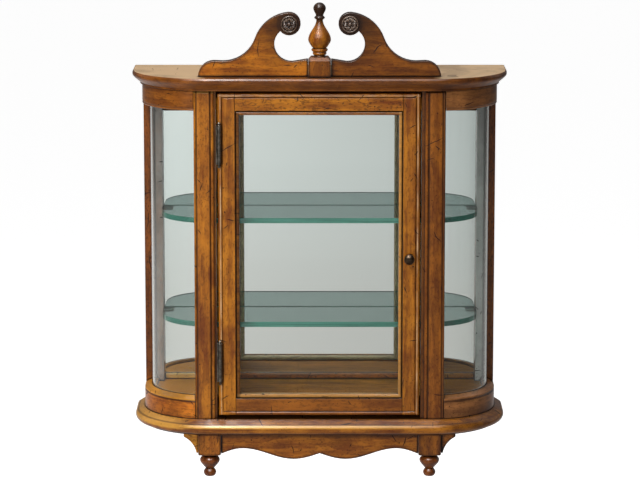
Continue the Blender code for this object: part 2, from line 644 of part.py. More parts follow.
def apron_edge(x):
    """Height of the scalloped lower edge, from the centre outwards."""
    if x <= APRON_LOW_X:
        t = x / APRON_LOW_X
        return notch_z + (low_z - notch_z) * math.sin(math.pi / 2 * t)
    if x <= APRON_CREST_X:
        t = (x - APRON_LOW_X) / (APRON_CREST_X - APRON_LOW_X)
        return low_z + (crest_z - low_z) * (1 - math.cos(math.pi * t)) / 2
    t = (x - APRON_CREST_X) / (apron_end - APRON_CREST_X)
    return crest_z + (end_z - crest_z) * (1 - math.cos(math.pi / 2 * t))


spans = [(0.0, APRON_LOW_X, 8), (APRON_LOW_X, APRON_CREST_X, 10), (APRON_CREST_X, apron_end, 6)]
edge = [(0.0, notch_z)]
for start, stop, steps in spans:
    for k in range(1, steps + 1):
        x = start + (stop - start) * k / steps
        edge.append((x, apron_edge(x)))
outline = [(-x, z) for x, z in reversed(edge[1:])] + edge + [(apron_end, apron_top), (-apron_end, apron_top)]
apron_front = -BLOCK_FRONT + APRON_SET_BACK
finish("apron", board(outline, (apron_front, apron_front + APRON_THICKNESS)), WOOD, case)

bracket_in = FOOT_X + block_half + FIT
bracket_low = apron_top - BRACKET_LOW_DROP
bracket_out = bracket_in + BRACKET_WIDTH
foot_point = (bracket_in + BRACKET_FOOT, bracket_low)
drop_point = (bracket_out, apron_top - BRACKET_DROP)
chord = math.dist(foot_point, drop_point)
mid = ((foot_point[0] + drop_point[0]) / 2, (foot_point[1] + drop_point[1]) / 2)
away = ((drop_point[1] - foot_point[1]) / chord, -(drop_point[0] - foot_point[0]) / chord)
reach = math.sqrt(BRACKET_RADIUS ** 2 - (chord / 2) ** 2)
centre = (mid[0] + away[0] * reach, mid[1] + away[1] * reach)
a0 = math.degrees(math.atan2(drop_point[1] - centre[1], drop_point[0] - centre[0]))
a1 = math.degrees(math.atan2(foot_point[1] - centre[1], foot_point[0] - centre[0]))
wing = [(bracket_in, apron_top), (bracket_out, apron_top)]
wing += arc(*centre, BRACKET_RADIUS, a0, a1 % 360 if a0 >= 0 else a1, 8)
wing += [(bracket_in, bracket_low)]
for side, name in ((-1, "left"), (1, "right")):
    finish(f"bracket_{name}", board(mirrored(wing, side), (apron_front, apron_front + APRON_THICKNESS)), WOOD, case)

# Swan-neck pediment: ear, concave sweep, convex neck, volute and the round eye below it
neck_z = Z_CREST + NECK_TOP - NECK_RADIUS
sweep_fall = Z_CREST + SWEEP_FOOT - neck_z
sweep_radius = ((SWEEP_X - NECK_X) ** 2 + sweep_fall ** 2 - NECK_RADIUS ** 2) / (2 * (NECK_RADIUS - sweep_fall))
sweep_z = Z_CREST + SWEEP_FOOT + sweep_radius
reach = NECK_RADIUS - VOLUTE_RADIUS
volute_z = neck_z + math.sqrt(reach ** 2 - (NECK_X - VOLUTE_X) ** 2)
eye_z = Z_CREST + EYE_FOOT + EYE_RADIUS
turn = math.degrees(math.atan2(neck_z - sweep_z, SWEEP_X - NECK_X))
top_turn = math.degrees(math.atan2(volute_z - neck_z, NECK_X - VOLUTE_X))
gap = math.dist((VOLUTE_X, volute_z), (EYE_X, eye_z))
along = (VOLUTE_RADIUS ** 2 - EYE_RADIUS ** 2 + gap ** 2) / (2 * gap)
down = math.degrees(math.atan2(eye_z - volute_z, VOLUTE_X - EYE_X))
curl = down - math.degrees(math.acos(along / VOLUTE_RADIUS))
eye_start = 180 + down + math.degrees(math.acos((gap - along) / EYE_RADIUS))
toe = FINIAL_BLOCK / 2 + FIT
ear = arc(0, 0, 1.0, 180, 90, 7)
scroll = [(-PEDIMENT_HALF_WIDTH + EAR_WIDTH * (1 + x), Z_CREST + EAR_HEIGHT * z) for x, z in ear]
scroll += arc(-SWEEP_X, sweep_z, sweep_radius, -90, turn, 9)
scroll += arc(-NECK_X, neck_z, NECK_RADIUS, 180 + turn, top_turn, 9)[1:]
scroll += arc(-VOLUTE_X, volute_z, VOLUTE_RADIUS, top_turn, curl, 14)[1:]
scroll += arc(-EYE_X, eye_z, EYE_RADIUS, eye_start, 285, 12)[1:]
scroll += [(-toe, Z_CREST + TOE_HEIGHT), (-toe, Z_CREST)]
ped_y = (-PEDIMENT_FRONT, -PEDIMENT_FRONT + PEDIMENT_THICKNESS)
for side, name in ((-1, "left"), (1, "right")):
    outline = scroll if side < 0 else mirrored(scroll, -1)
    finish(f"pediment_{name}", board(outline, ped_y), WOOD, case, smooth=25)

half = FINIAL_BLOCK / 2
finial_y = -PEDIMENT_FRONT + PEDIMENT_THICKNESS / 2
z_cap = Z_CREST + FINIAL_BLOCK_HEIGHT
rings = []
for w, z in ((half, Z_CREST), (half, z_cap - FINIAL_CHAMFER), (half - FINIAL_CHAMFER * 0.8, z_cap)):
    rings.append([(-w, finial_y - w, z), (w, finial_y - w, z), (w, finial_y + w, z), (-w, finial_y + w, z)])
finish("finial_block", loft(rings), WOOD, case)

profile = eased(FINIAL_TURNING, 4)
profile += dome(*FINIAL_TURNING[-1], FINIAL_TIP, 5)
finish("finial", turned(profile, 22), WOOD, case, offset=(0, finial_y, z_cap + FIT), smooth=35)


def rosette():
    """Carved flower in a turned disc: round rim, hollow, petals that fall to a ring, round button."""
    steps = ROSETTE_PETALS * 6
    rings = []
    for share, height, scallop in ((1.0, 0.0, 0.0), (1.0, 0.45, 0.0), (0.94, 0.62, 0.0), (0.86, 0.62, 0.0),
                                   (0.80, 0.34, 0.0), (0.74, 0.34, 0.14), (0.64, 0.72, 0.12), (0.44, 0.80, 0.06),
                                   (0.33, 0.52, 0.0), (0.27, 0.85, 0.0), (0.13, 1.0, 0.0)):
        ring = []
        for k in range(steps):
            a = math.tau * k / steps
            r = ROSETTE_RADIUS * (share - scallop * (1 - abs(math.sin(ROSETTE_PETALS * a / 2))))
            ring.append((r * math.cos(a), -ROSETTE_DEPTH * height, r * math.sin(a)))
        rings.append(ring)
    return loft(rings)


for side, name in ((-1, "left"), (1, "right")):
    finish(f"rosette_{name}", rosette(), DARK_WOOD, case,
           offset=(side * VOLUTE_X, -PEDIMENT_FRONT - FIT, volute_z), smooth=50)

# Shelves and their pins
shelf_back = -MIRROR_FRONT - SHELF_MIRROR_GAP
shelf = [(SHELF_HALF_WIDTH, shelf_back)]
shelf += arc(SHELF_HALF_WIDTH - SHELF_RADIUS, -SHELF_FRONT + SHELF_RADIUS, SHELF_RADIUS, 0, -90, 12)
shelf += [(-x, y) for x, y in reversed(shelf)]
levels = {"lower": LOWER_PIN_HEIGHT, "upper": LOWER_PIN_HEIGHT + SHELF_STEP * HOLE_PITCH}
pin_in = HOLE_DEPTH - FIT
pin_profile = [(-pin_in, SHELF_PIN_RADIUS), (SHELF_PIN_REACH - SHELF_PIN_RADIUS, SHELF_PIN_RADIUS)]
pin_profile += dome(SHELF_PIN_REACH - SHELF_PIN_RADIUS, SHELF_PIN_RADIUS, SHELF_PIN_RADIUS, 3)
for level, z in levels.items():
    z_glass = z + SHELF_PIN_RADIUS + FIT
    finish(f"shelf_{level}", upright(shelf, (0, SHELF_THICKNESS)), SHELF_GLASS, case, offset=(0, 0, z_glass), smooth=30)
    for side, name in ((-1, "left"), (1, "right")):
        peg = turned(pin_profile, 12)
        bmesh.ops.rotate(peg, verts=peg.verts, matrix=Matrix.Rotation(math.radians(-90 * side), 3, "Y"))
        finish(f"pin_{level}_back_{name}", peg, BRONZE, case, offset=(side * POST_INNER, -POST_PIN_Y, z), smooth=35)
        peg = turned(pin_profile, 12)
        bmesh.ops.rotate(peg, verts=peg.verts, matrix=Matrix.Rotation(math.radians(-90), 3, "X"))
        finish(f"pin_{level}_front_{name}", peg, BRONZE, case, offset=(side * STILE_PIN_X, -STILE_BACK, z), smooth=35)

# Door frame: a bead runs round the outer edge, the stiles run through and the rails butt between them
edge_r = EDGE_BEAD / 2
edge_section = [(0.0, -DOOR_BACK)]
for inset, depth in arc(edge_r, edge_r, edge_r, 180, 330, 6):
    edge_section.append((inset, -FRONT_FACE + depth))
edge_section.append((EDGE_BEAD + QUIRK, -FRONT_FACE))


def door_stile(outer, inward):
    """Board with the bead on its outer edge and both ends, mitred at the corners."""
    joint = outer + inward * DOOR_STILE_WIDTH
    bm = bmesh.new()
    lines = []
    for at_edge, at_top in ((False, False), (True, False), (True, True), (False, True)):
        line = []
        for inset, y in edge_section:
            x = outer + inward * inset if at_edge else joint
            z = DOOR_TOP - inset if at_top else DOOR_BOTTOM + inset
            line.append(bm.verts.new((x, y, z)))
        lines.append(line)
    for a, b in zip(lines, lines[1:]):
        for k in range(len(a) - 1):
            bm.faces.new((a[k], b[k], b[k + 1], a[k + 1]))
    bm.faces.new([line[-1] for line in lines])
    bm.faces.new([line[0] for line in lines])
    bm.faces.new(lines[0] + list(reversed(lines[-1])))
    return bm


finish("door_stile_left", door_stile(DOOR_LEFT, 1), WOOD, door_axis, DOOR, smooth=30)
finish("door_stile_right", door_stile(DOOR_RIGHT, -1), WOOD, door_axis, DOOR, smooth=30)
rail_x = (DOOR_REBATE["left"] + FIT, DOOR_REBATE["right"] - FIT)
for name, outer, inward in (("bottom", DOOR_BOTTOM, 1), ("top", DOOR_TOP, -1)):
    section = edge_section + [(DOOR_RAIL_WIDTH, -FRONT_FACE), (DOOR_RAIL_WIDTH, -DOOR_BACK)]
    rings = [[(x, y, outer + inward * inset) for inset, y in section] for x in rail_x]
    finish(f"door_{name}_rail", loft(rings), WOOD, door_axis, DOOR, smooth=30)

# Sight bead inside the frame, glass behind it, stops behind the glass
sight = {key: value + (FIT if key in ("left", "bottom") else -FIT) for key, value in DOOR_REBATE.items()}
bead_back = -FRONT_FACE + SIGHT_BEAD_DEPTH
sight_r = SIGHT_BEAD / 2
sight_section = [(0.0, bead_back), (0.0, -FRONT_FACE + ARRIS), (QUIRK / 2, -FRONT_FACE + sight_r)]
for inset, depth in arc(sight_r + QUIRK / 2, sight_r, sight_r - QUIRK / 2, 200, 360, 6):
    sight_section.append((inset, -FRONT_FACE + depth))
sight_section.append((SIGHT_BEAD, bead_back))
finish("door_sight_bead", frame_ring(sight_section, sight), WOOD, door_axis, DOOR, smooth=40)
glass_front = bead_back + FIT
glass_back = glass_front + DOOR_GLASS
finish("door_glass", block((sight["left"], sight["right"]), (glass_front, glass_back),
                           (sight["bottom"], sight["top"])), GLASS, door_axis, DOOR)
stop_front = glass_back + FIT
stop_section = [(0.0, stop_front), (STOP_WIDTH, stop_front), (STOP_WIDTH, stop_front + STOP_DEPTH / 2),
                (STOP_WIDTH / 2, stop_front + STOP_DEPTH), (0.0, stop_front + STOP_DEPTH)]
finish("door_glass_stops", frame_ring(stop_section, sight), INNER_WOOD, door_axis, DOOR)

# Knob
profile = [(0.0, KNOB_FOOT_RADIUS), (KNOB_FOOT_HEIGHT, KNOB_FOOT_RADIUS)]
profile += eased([(KNOB_FOOT_HEIGHT * 1.5, KNOB_FOOT_RADIUS * 0.9), (KNOB_LENGTH / 3, KNOB_NECK_RADIUS),
                  (KNOB_LENGTH - KNOB_CAP, KNOB_RADIUS)], 4)
profile += dome(KNOB_LENGTH - KNOB_CAP, KNOB_RADIUS, KNOB_CAP, 4)
finish("door_knob", turned(profile, 20, axis="Y"), BRONZE, door_axis,
       (DOOR_RIGHT - KNOB_FROM_EDGE - AXIS_X, -FRONT_FACE - FIT - AXIS_Y, KNOB_HEIGHT), smooth=35)

# Hinges: frame leaf with its outer knuckles and pin, door leaf with the middle knuckle
knuckle = HINGE_LENGTH / 3
half_play = PLAY / 2
tip_profile = [(-TIP_NECK - 2 * TIP_RADIUS, 0.0)]
for turn in (-50, -10, 30, 65):
    height = TIP_RADIUS * (math.sin(math.radians(turn)) - 1) - TIP_NECK
    tip_profile.append((height, TIP_RADIUS * math.cos(math.radians(turn))))
lower_half = tip_profile + [(0.0, PIN_RADIUS), (0.0, BARREL_RADIUS)]
lower_half += [(knuckle - half_play, BARREL_RADIUS), (knuckle - half_play, PIN_RADIUS)]
barrel = lower_half + [(HINGE_LENGTH - h, r) for h, r in reversed(lower_half)]
frame_x = HINGE_FACE + FIT
door_x = DOOR_LEFT - FIT
leaf_end = -FRONT_FACE + LEAF_DEPTH
for name, middle in HINGE_HEIGHTS.items():
    z0 = middle - HINGE_LENGTH / 2
    low = (z0 + LEAF_TRIM, z0 + knuckle - half_play - LEAF_TRIM)
    high = (z0 + 2 * knuckle + half_play + LEAF_TRIM, z0 + HINGE_LENGTH - LEAF_TRIM)
    mid = (z0 + knuckle + half_play, z0 + 2 * knuckle - half_play)
    span = (z0 + LEAF_TRIM / 2, z0 + HINGE_LENGTH - LEAF_TRIM / 2)

    leaf = finish(f"hinge_{name}_frame_leaf", turned(barrel, 16), BRONZE, case, (AXIS_X, AXIS_Y, z0), smooth=35)
    plate = finish(f"hinge_{name}_frame_plate", block((frame_x, frame_x + LEAF_THICKNESS),
                                                      (AXIS_Y - LEAF_THICKNESS, leaf_end), span), None, case)
    combine(leaf, plate, "UNION")
    for end, z in (("low", low), ("high", high)):
        tongue = finish(f"hinge_{name}_{end}_tongue",
                        block((frame_x + LEAF_THICKNESS / 2, AXIS_X - PIN_RADIUS),
                              (AXIS_Y - LEAF_THICKNESS / 2, AXIS_Y + LEAF_THICKNESS / 2), z), None, case)
        combine(leaf, tongue, "UNION")

    bore = PIN_RADIUS + PLAY
    rings = []
    for k in range(16):
        c, s = math.cos(math.tau * k / 16), math.sin(math.tau * k / 16)
        rings.append([(AXIS_X + r * c, AXIS_Y + r * s, z) for r, z in
                      ((bore, mid[0]), (BARREL_RADIUS, mid[0]), (BARREL_RADIUS, mid[1]), (bore, mid[1]))])
    leaf = finish(f"hinge_{name}_door_leaf", loft(rings, closed_path=True), BRONZE, door_axis, DOOR, smooth=35)
    plate = finish(f"hinge_{name}_door_plate", block((door_x - LEAF_THICKNESS, door_x), (-FRONT_FACE, leaf_end), span),
                   None, door_axis, DOOR)
    combine(leaf, plate, "UNION")
    tongue = finish(f"hinge_{name}_door_tongue",
                    block((door_x - LEAF_THICKNESS * 0.9, door_x - LEAF_THICKNESS * 0.1),
                          (AXIS_Y, -FRONT_FACE + LEAF_THICKNESS), (mid[0] + LEAF_TRIM, mid[1] - LEAF_TRIM)),
                    None, door_axis, DOOR)
    combine(leaf, tongue, "UNION")

# Magnetic catch under the header, strike plate on the door
catch_x = (DOOR_RIGHT - CATCH_FROM_EDGE - CATCH_LENGTH, DOOR_RIGHT - CATCH_FROM_EDGE)
catch_top = Z_HEAD - HEADER_HEIGHT - FIT
catch_z = (catch_top - CATCH_HEIGHT, catch_top)
strike_y = (-DOOR_BACK + FIT, -DOOR_BACK + FIT + STRIKE_THICKNESS)
finish("catch_strike", block(catch_x, strike_y, catch_z), STEEL, door_axis, DOOR)
body = finish("catch_body", block(catch_x, (strike_y[1] + FIT, rail_y[1]), catch_z), PLASTIC, case)
ease_edges(body, ARRIS / 2)
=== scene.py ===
"""Looks of a wall curio cabinet: distressed amber wood, bent side glass, a mirror back and two glass shelves.

Metres, +Z up, front towards -Y, the wall at Y = 0. The sections follow the order of assembly.
"""
import math

import bmesh
import bpy
from mathutils import Matrix, Vector


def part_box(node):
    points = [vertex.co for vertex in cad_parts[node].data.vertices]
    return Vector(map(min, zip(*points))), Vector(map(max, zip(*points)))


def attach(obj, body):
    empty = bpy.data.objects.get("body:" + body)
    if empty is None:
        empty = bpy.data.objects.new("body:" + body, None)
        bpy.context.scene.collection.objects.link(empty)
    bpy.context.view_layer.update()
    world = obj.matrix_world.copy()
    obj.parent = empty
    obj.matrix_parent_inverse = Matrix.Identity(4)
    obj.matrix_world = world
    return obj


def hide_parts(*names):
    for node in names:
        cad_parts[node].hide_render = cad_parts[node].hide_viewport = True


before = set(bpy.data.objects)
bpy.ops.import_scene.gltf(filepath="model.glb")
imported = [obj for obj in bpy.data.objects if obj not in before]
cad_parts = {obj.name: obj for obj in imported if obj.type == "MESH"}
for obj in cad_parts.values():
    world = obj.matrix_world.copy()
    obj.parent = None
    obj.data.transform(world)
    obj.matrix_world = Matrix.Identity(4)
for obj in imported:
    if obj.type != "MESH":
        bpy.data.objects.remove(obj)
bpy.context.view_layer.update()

# Base board and the plate under it: one wide moulded board with rounded front corners, glued on a coved
# plate that is painted near black as shade under the nose. Solid wood, stained amber, with dark glaze and
# painted shade in the hollows, worm holes and scratches put in by hand, and a satin lacquer over all. The
# board has painted shade under the door, along the line where the nose begins, at the nose's foot and towards
# its right end, and a painted highlight on the upper curve of the nose.
WELD = 1e-6
FLAT_ANGLE = math.radians(0.2)
ROUND_ANGLE = math.radians(34)
ARRIS = 0.0007


def select_only(*pieces):
    """Select these pieces and make the first the active one."""
    bpy.ops.object.select_all(action="DESELECT")
    for piece in pieces:
        piece.select_set(True)
    bpy.context.view_layer.objects.active = pieces[0]


class Layer:
    """Output of a shader node that works like a number: each sum places a Math node in the same tree."""

    def __init__(self, socket):
        self.socket = socket
        self.tree = socket.id_data

    def __add__(self, other):
        return calc("ADD", self, other)

    def __sub__(self, other):
        return calc("SUBTRACT", self, other)

    def __rsub__(self, other):
        return calc("SUBTRACT", other, self)

    def __mul__(self, other):
        return calc("MULTIPLY", self, other)

    def __truediv__(self, other):
        return calc("DIVIDE", self, other)

    def __abs__(self):
        return calc("ABSOLUTE", self)


def plug(tree, node, inputs):
    """Link layers to a node's inputs, and set plain values on the rest."""
    for key, value in inputs.items():
        if isinstance(value, Layer):
            tree.links.new(value.socket, node.inputs[key])
        else:
            node.inputs[key].default_value = value


def add(tree, kind, inputs=None, **settings):
    """Place a shader node with its options and inputs, and hand back its outputs by number and by name."""
    made = tree.nodes.new(kind)
    for name, value in settings.items():
        setattr(made, name, value)
    plug(tree, made, inputs or {})
    return {key: Layer(out) for count, out in enumerate(made.outputs) for key in (count, out.name)}


def calc(operation, a, b=0.0):
    """One sum of layers or numbers."""
    tree = (a if isinstance(a, Layer) else b).tree
    return add(tree, "ShaderNodeMath", {0: a, 1: b}, operation=operation)[0]


def most(first, *others):
    """The strongest of several masks at each spot."""
    for other in others:
        first = calc("MAXIMUM", first, other)
    return first


def rise(value, low, high):
    """Smooth step from 0 at low to 1 at high."""
    limits = {"Value": value, "From Min": low, "From Max": high}
    return add(value.tree, "ShaderNodeMapRange", limits, interpolation_type="SMOOTHSTEP")[0]


def stripe(value, centre, outer, inner):
    """Soft line: 1 within the inner distance of its centre, 0 beyond the outer one."""
    return rise(abs(value - centre), outer, inner)


def fade(share, first, second):
    """Mix two colours."""
    return add(share.tree, "ShaderNodeMix", {0: share, 6: first, 7: second}, data_type="RGBA")[2]


def vector(operation, a, b):
    """One sum of places or directions."""
    return add(a.tree, "ShaderNodeVectorMath", {0: a, 1: b}, operation=operation)[0]


def stretched(place, along, across):
    """Scale a place along and across the grain, which runs in X."""
    return vector("MULTIPLY", place, (along, across, across))


def parts(place):
    """X, Y and Z of a place or a direction."""
    split = add(place.tree, "ShaderNodeSeparateXYZ", {0: place})
    return split[0], split[1], split[2]


def tilt(place, axis):
    """How far the surface faces along one axis."""
    return parts(add(place.tree, "ShaderNodeNewGeometry")["Normal"])[axis]


def noise(place, scale=1.0, detail=2.0, rough=0.5, twist=0.0):
    """Cloudy pattern between 0 and 1."""
    values = {"Vector": place, "Scale": scale, "Detail": detail, "Roughness": rough, "Distortion": twist}
    return add(place.tree, "ShaderNodeTexNoise", values)[0]


def hollows(place, reach, **settings):
    """1 in the open, less near other surfaces, or near the piece's own edges when it looks inside."""
    return add(place.tree, "ShaderNodeAmbientOcclusion", {"Distance": reach}, samples=12, **settings)["AO"]


def shader_group(inputs, outputs):
    """Build a rule once into a shader group with named sockets, of which the first input is the place."""
    def build(rule):
        tree = bpy.data.node_groups.new(rule.__name__, "ShaderNodeTree")
        for label, (kind, value) in {"Place": ("Vector", (0, 0, 0)), **inputs}.items():
            socket = tree.interface.new_socket(label, in_out="INPUT", socket_type=f"NodeSocket{kind}")
            socket.default_value = value
        for label, kind in outputs.items():
            tree.interface.new_socket(label, in_out="OUTPUT", socket_type=f"NodeSocket{kind}")
        given = [Layer(socket) for socket in tree.nodes.new("NodeGroupInput").outputs if socket.name]
        made = rule(*given)
        made = made if isinstance(made, tuple) else (made,)
        plug(tree, tree.nodes.new("NodeGroupOutput"), dict(zip(outputs, made)))
        return tree
    return build


def use(group, place, **inputs):
    """Place a shader group in a finish, or in another group."""
    return add(place.tree, "ShaderNodeGroup", {"Place": place, **inputs}, node_tree=group)


mask = shader_group({}, {"Mask": "Float"})
HEART = (0.0, 0.14, 0.23)
DASH_BROWN = (0.045, 0.014, 0.004, 1)
PORE_BROWN = (0.030, 0.010, 0.004, 1)
HOLLOW_REACH = 0.0042


@shader_group({"Flecks": ("Float", 1.0), "Light": ("Color", (1, 1, 1, 1)), "Dark": ("Color", (0, 0, 0, 1))},
              {"Colour": "Color", "Pores": "Float"})
def timber_grain(place, flecks, light, dark):
    """Growth rings, streaks, clouds, short dark dashes and open pores. The grain runs in X."""
    rings = add(place.tree, "ShaderNodeTexWave",
                {"Vector": stretched(vector("ADD", place, HEART), 0.5, 1.0), "Scale": 24.0, "Distortion": 7.0,
                 "Detail": 3.0, "Detail Scale": 1.3, "Detail Roughness": 0.6},
                wave_type="RINGS", rings_direction="X", wave_profile="SAW")[1]
    streaks = noise(stretched(place, 7.0, 120.0), detail=4.0, rough=0.62)
    mottle = noise(stretched(place, 42.0, 85.0), detail=3.0, rough=0.6)
    clouds = noise(place, 13.0, 3.0, 0.55, 0.4)
    figure = rise(rings * 0.10 + streaks * 0.62 + mottle * 0.42 + clouds * 0.46, 0.56, 1.02)
    dashes = noise(stretched(place, 190.0, 430.0), detail=2.0, rough=0.6)
    dashes = rise(dashes, 0.53, 0.64) * (flecks * 0.78)
    pores = rise(noise(stretched(place, 30.0, 420.0), detail=2.0), 0.60, 0.72)
    colour = fade(dashes, fade(figure, light, dark), DASH_BROWN)
    return fade(pores * 0.34, colour, PORE_BROWN), pores


@shader_group({"Amount": ("Float", 1.0)}, {"Marks": "Float"})
def hand_distressing(place, amount):
    """Worm holes in loose clusters and tight nests, fine specks, and short curved scratches."""
    def dots(scale, radius, keep):
        cell = add(place.tree, "ShaderNodeTexVoronoi", {"Vector": place, "Scale": scale})
        chance = add(place.tree, "ShaderNodeSeparateColor", {0: cell["Color"]})[0]
        return rise(cell["Distance"], radius, radius * 0.55) * calc("LESS_THAN", chance, keep)

    def scratches(scale, reach, half_width, keep, shift):
        wobble = add(place.tree, "ShaderNodeTexNoise", {"Vector": place, "Scale": 60.0, "Detail": 1.0})[1]
        wobble = vector("MULTIPLY", vector("SUBTRACT", wobble, (0.5, 0.5, 0.5)), (0.006, 0.0, 0.006))
        moved = vector("ADD", vector("ADD", place, shift), wobble)
        cell = add(place.tree, "ShaderNodeTexVoronoi", {"Vector": moved, "Scale": scale, "Randomness": 0.9})
        chance = add(place.tree, "ShaderNodeSeparateColor", {0: cell["Color"]})
        turned = {"Vector": vector("SUBTRACT", moved, cell["Position"]), "Axis": (0, 1, 0),
                  "Angle": chance[0] * math.tau}
        along, deep, beside = parts(add(place.tree, "ShaderNodeVectorRotate", turned)[0])
        taper = 1.0 - calc("POWER", abs(along) / ((chance[1] + 0.35) * reach), 2.0)
        line = calc("LESS_THAN", abs(beside), taper * half_width)
        near = calc("LESS_THAN", abs(deep), 0.35 / scale)
        return line * near * calc("LESS_THAN", chance[2], keep)

    clusters = rise(noise(place, 17.0, 1.0), 0.36, 0.58)
    nests = rise(noise(place, 23.0, 1.0), 0.54, 0.62)
    specks = dots(scale=190.0, radius=0.17, keep=0.45) * (clusters * 0.85 + 0.15) * 0.7
    holes = most(dots(scale=88.0, radius=0.13, keep=0.7) * clusters,
                 dots(scale=250.0, radius=0.20, keep=0.85) * nests)
    cuts = most(scratches(scale=25.0, reach=0.0090, half_width=0.00075, keep=0.62, shift=(0.0, 0.0, 0.0)),
                scratches(scale=36.0, reach=0.0055, half_width=0.00060, keep=0.5, shift=(0.31, 0.17, 0.53)),
                scratches(scale=15.0, reach=0.0140, half_width=0.00060, keep=0.45, shift=(0.77, 0.41, 0.13)))
    return most(holes, specks, cuts) * amount


@shader_group({"Amount": ("Float", 1.0)}, {"GlazeAndShade": "Float"})
def glaze_and_hollow_shade(place, amount):
    """Dark glaze wiped off the flats and left in cloudy patches, with painted shade in hollows and joints and
    beside other parts.
    """
    patches = rise(noise(place, 8.0, 4.0, 0.6, 0.8), 0.48, 0.74) * 0.5
    return most(rise(hollows(place, HOLLOW_REACH), 0.93, 0.50), patches) * amount


# Dark brown of the glaze and of the painted shade.
GLAZE_AND_SHADE_BROWN = (0.016, 0.007, 0.004, 1)
MARK_BLACK = (0.010, 0.004, 0.002, 1)
# Colour of painted highlights when no other is given.
HIGHLIGHT_TAN = (0.66, 0.36, 0.10, 1)
ALONG_X = (0.0, 0.0, 0.0)
ALONG_Z = (0.0, math.pi / 2, 0.0)
BUMP_DEPTH = 0.0004


def new_finish(name):
    """Bare material, with its tree, its shader and the place on the piece."""
    finish = bpy.data.materials.new(name)
    finish.use_nodes = True
    tree = finish.node_tree
    return finish, tree, tree.nodes["Principled BSDF"], add(tree, "ShaderNodeTexCoord")["Object"]


def wood_finish(name, stain, turn, marks=1.0, flecks=1.0, glaze=0.9, rough=0.34, coat=0.75, sheen=0.15,
                shade=None, painted_light=None, pale=HIGHLIGHT_TAN, bend=None):
    """Wood in a light and a dark stain under lacquer, with glaze and painted shade in its hollows. One mask
    darkens it further, with glaze and painted shade; another paints light and highlights on it in a paler
    colour.
    """
    finish, tree, shader, place = new_finish(name)
    laid = use(bend, place)["Bent"] if bend else place
    along = add(tree, "ShaderNodeMapping", {"Vector": laid, "Rotation": turn})[0]
    grain = use(timber_grain, along, Flecks=flecks, Light=stain[0], Dark=stain[1])
    mark = use(hand_distressing, place, Amount=marks)["Marks"]
    colour = grain["Colour"]
    if painted_light:
        colour = fade(use(painted_light, place)["Mask"], colour, pale)
    if shade:
        colour = fade(use(shade, place)["Mask"], colour, GLAZE_AND_SHADE_BROWN)
    colour = fade(use(glaze_and_hollow_shade, place, Amount=glaze)["GlazeAndShade"], colour, GLAZE_AND_SHADE_BROWN)
    rub = noise(stretched(along, 40.0, 160.0), detail=3.0)
    height = rub * 0.25 - grain["Pores"] * 0.3 - mark
    bump = add(tree, "ShaderNodeBump", {"Height": height, "Strength": 0.5, "Distance": BUMP_DEPTH})[0]
    plug(tree, shader, {"Base Color": fade(mark * 0.9, colour, MARK_BLACK), "Normal": bump,
                        "Roughness": rub * 0.16 + (rough - 0.08) + mark * 0.25, "Specular IOR Level": sheen,
                        "Coat Weight": coat, "Coat Roughness": 0.16, "Coat IOR": 1.35})
    return finish


def settle(piece, finish, slot, body, *nodes):
    """Give a finished piece its material and its body, and let it stand for its solids. The slot is not used.
    """
    piece.data.materials.clear()
    piece.data.materials.append(finish)
    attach(piece, body)
    if nodes:
        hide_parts(*nodes)
    return piece


def copied(mesh, name):
    """New piece with its own copy of a mesh."""
    piece = bpy.data.objects.new(name, mesh.copy())
    bpy.context.scene.collection.objects.link(piece)
    return piece


def weld(node, name):
    """Copy a solid's facets as one joined mesh with smooth curves."""
    piece = copied(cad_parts[node].data, name)
    select_only(piece)
    bpy.ops.mesh.customdata_custom_splitnormals_clear()
    bpy.ops.object.mode_set(mode="EDIT")
    bpy.ops.mesh.select_all(action="SELECT")
    bpy.ops.mesh.remove_doubles(threshold=WELD)
    bpy.ops.mesh.dissolve_limited(angle_limit=FLAT_ANGLE)
    bpy.ops.object.mode_set(mode="OBJECT")
    bpy.ops.object.shade_smooth_by_angle(angle=ROUND_ANGLE)
    return piece


def sand(node, finish, slot, arris=ARRIS, body="case", prefix="sanded"):
    """Rub a piece's outer edges round and leave its grooves crisp."""
    piece = weld(node, f"{prefix}_{node}")
    bpy.ops.object.mode_set(mode="EDIT")
    bpy.ops.mesh.select_mode(type="EDGE")
    bpy.ops.mesh.select_all(action="DESELECT")
    for edge in bmesh.from_edit_mesh(piece.data).edges:
        edge.select_set(edge.is_convex and edge.calc_face_angle(0.0) > ROUND_ANGLE)
    bpy.ops.mesh.bevel(offset=arris, segments=2, clamp_overlap=True, harden_normals=True)
    bpy.ops.mesh.select_mode(type="VERT")
    bpy.ops.object.mode_set(mode="OBJECT")
    return settle(piece, finish, slot, body, node)


# Near-black stain of the plate: painted shade under the nose.
PLATE_SHADE_UMBER = (0.088, 0.027, 0.007, 1), (0.040, 0.012, 0.004, 1)
BASE_AMBER = (0.465, 0.165, 0.012, 1), (0.140, 0.034, 0.004, 1)
# Colour of the painted highlight on the nose.
HIGHLIGHT_GOLD = (0.80, 0.42, 0.08, 1)
DOOR_SHADE = (-0.159, -0.152)
SILL_SHADE = (-0.110, -0.125)
DOOR_SIDES = (0.160, 0.150)
RIGHT_END = (0.150, 0.250)
LEFT_END = (-0.185, -0.225)
NOSE_TOP = -0.4754
NOSE_FRONT = -0.4823
NOSE_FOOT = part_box("base_board")[0][2]
NOSE_ENDS = (0.250, 0.170)
NOSE_LEFT = (0.12, -0.14)
NOSE_RIGHT = (0.215, 0.060)


@mask
def painted_shade_under_door(place):
    """Painted shade under the door, along the line where the nose begins, at its foot, and towards the right
    end.
    """
    x, y, z = parts(place)
    strip = rise(y, *DOOR_SHADE) * rise(abs(x), *DOOR_SIDES) * rise(y, *SILL_SHADE)
    line = stripe(z, NOSE_TOP, outer=0.0012, inner=0.0005)
    foot = rise(z, NOSE_FOOT + 0.0042, NOSE_FOOT)
    return most(strip * 0.9, line * 0.55, foot * 0.50, rise(x, *RIGHT_END) * 0.38)


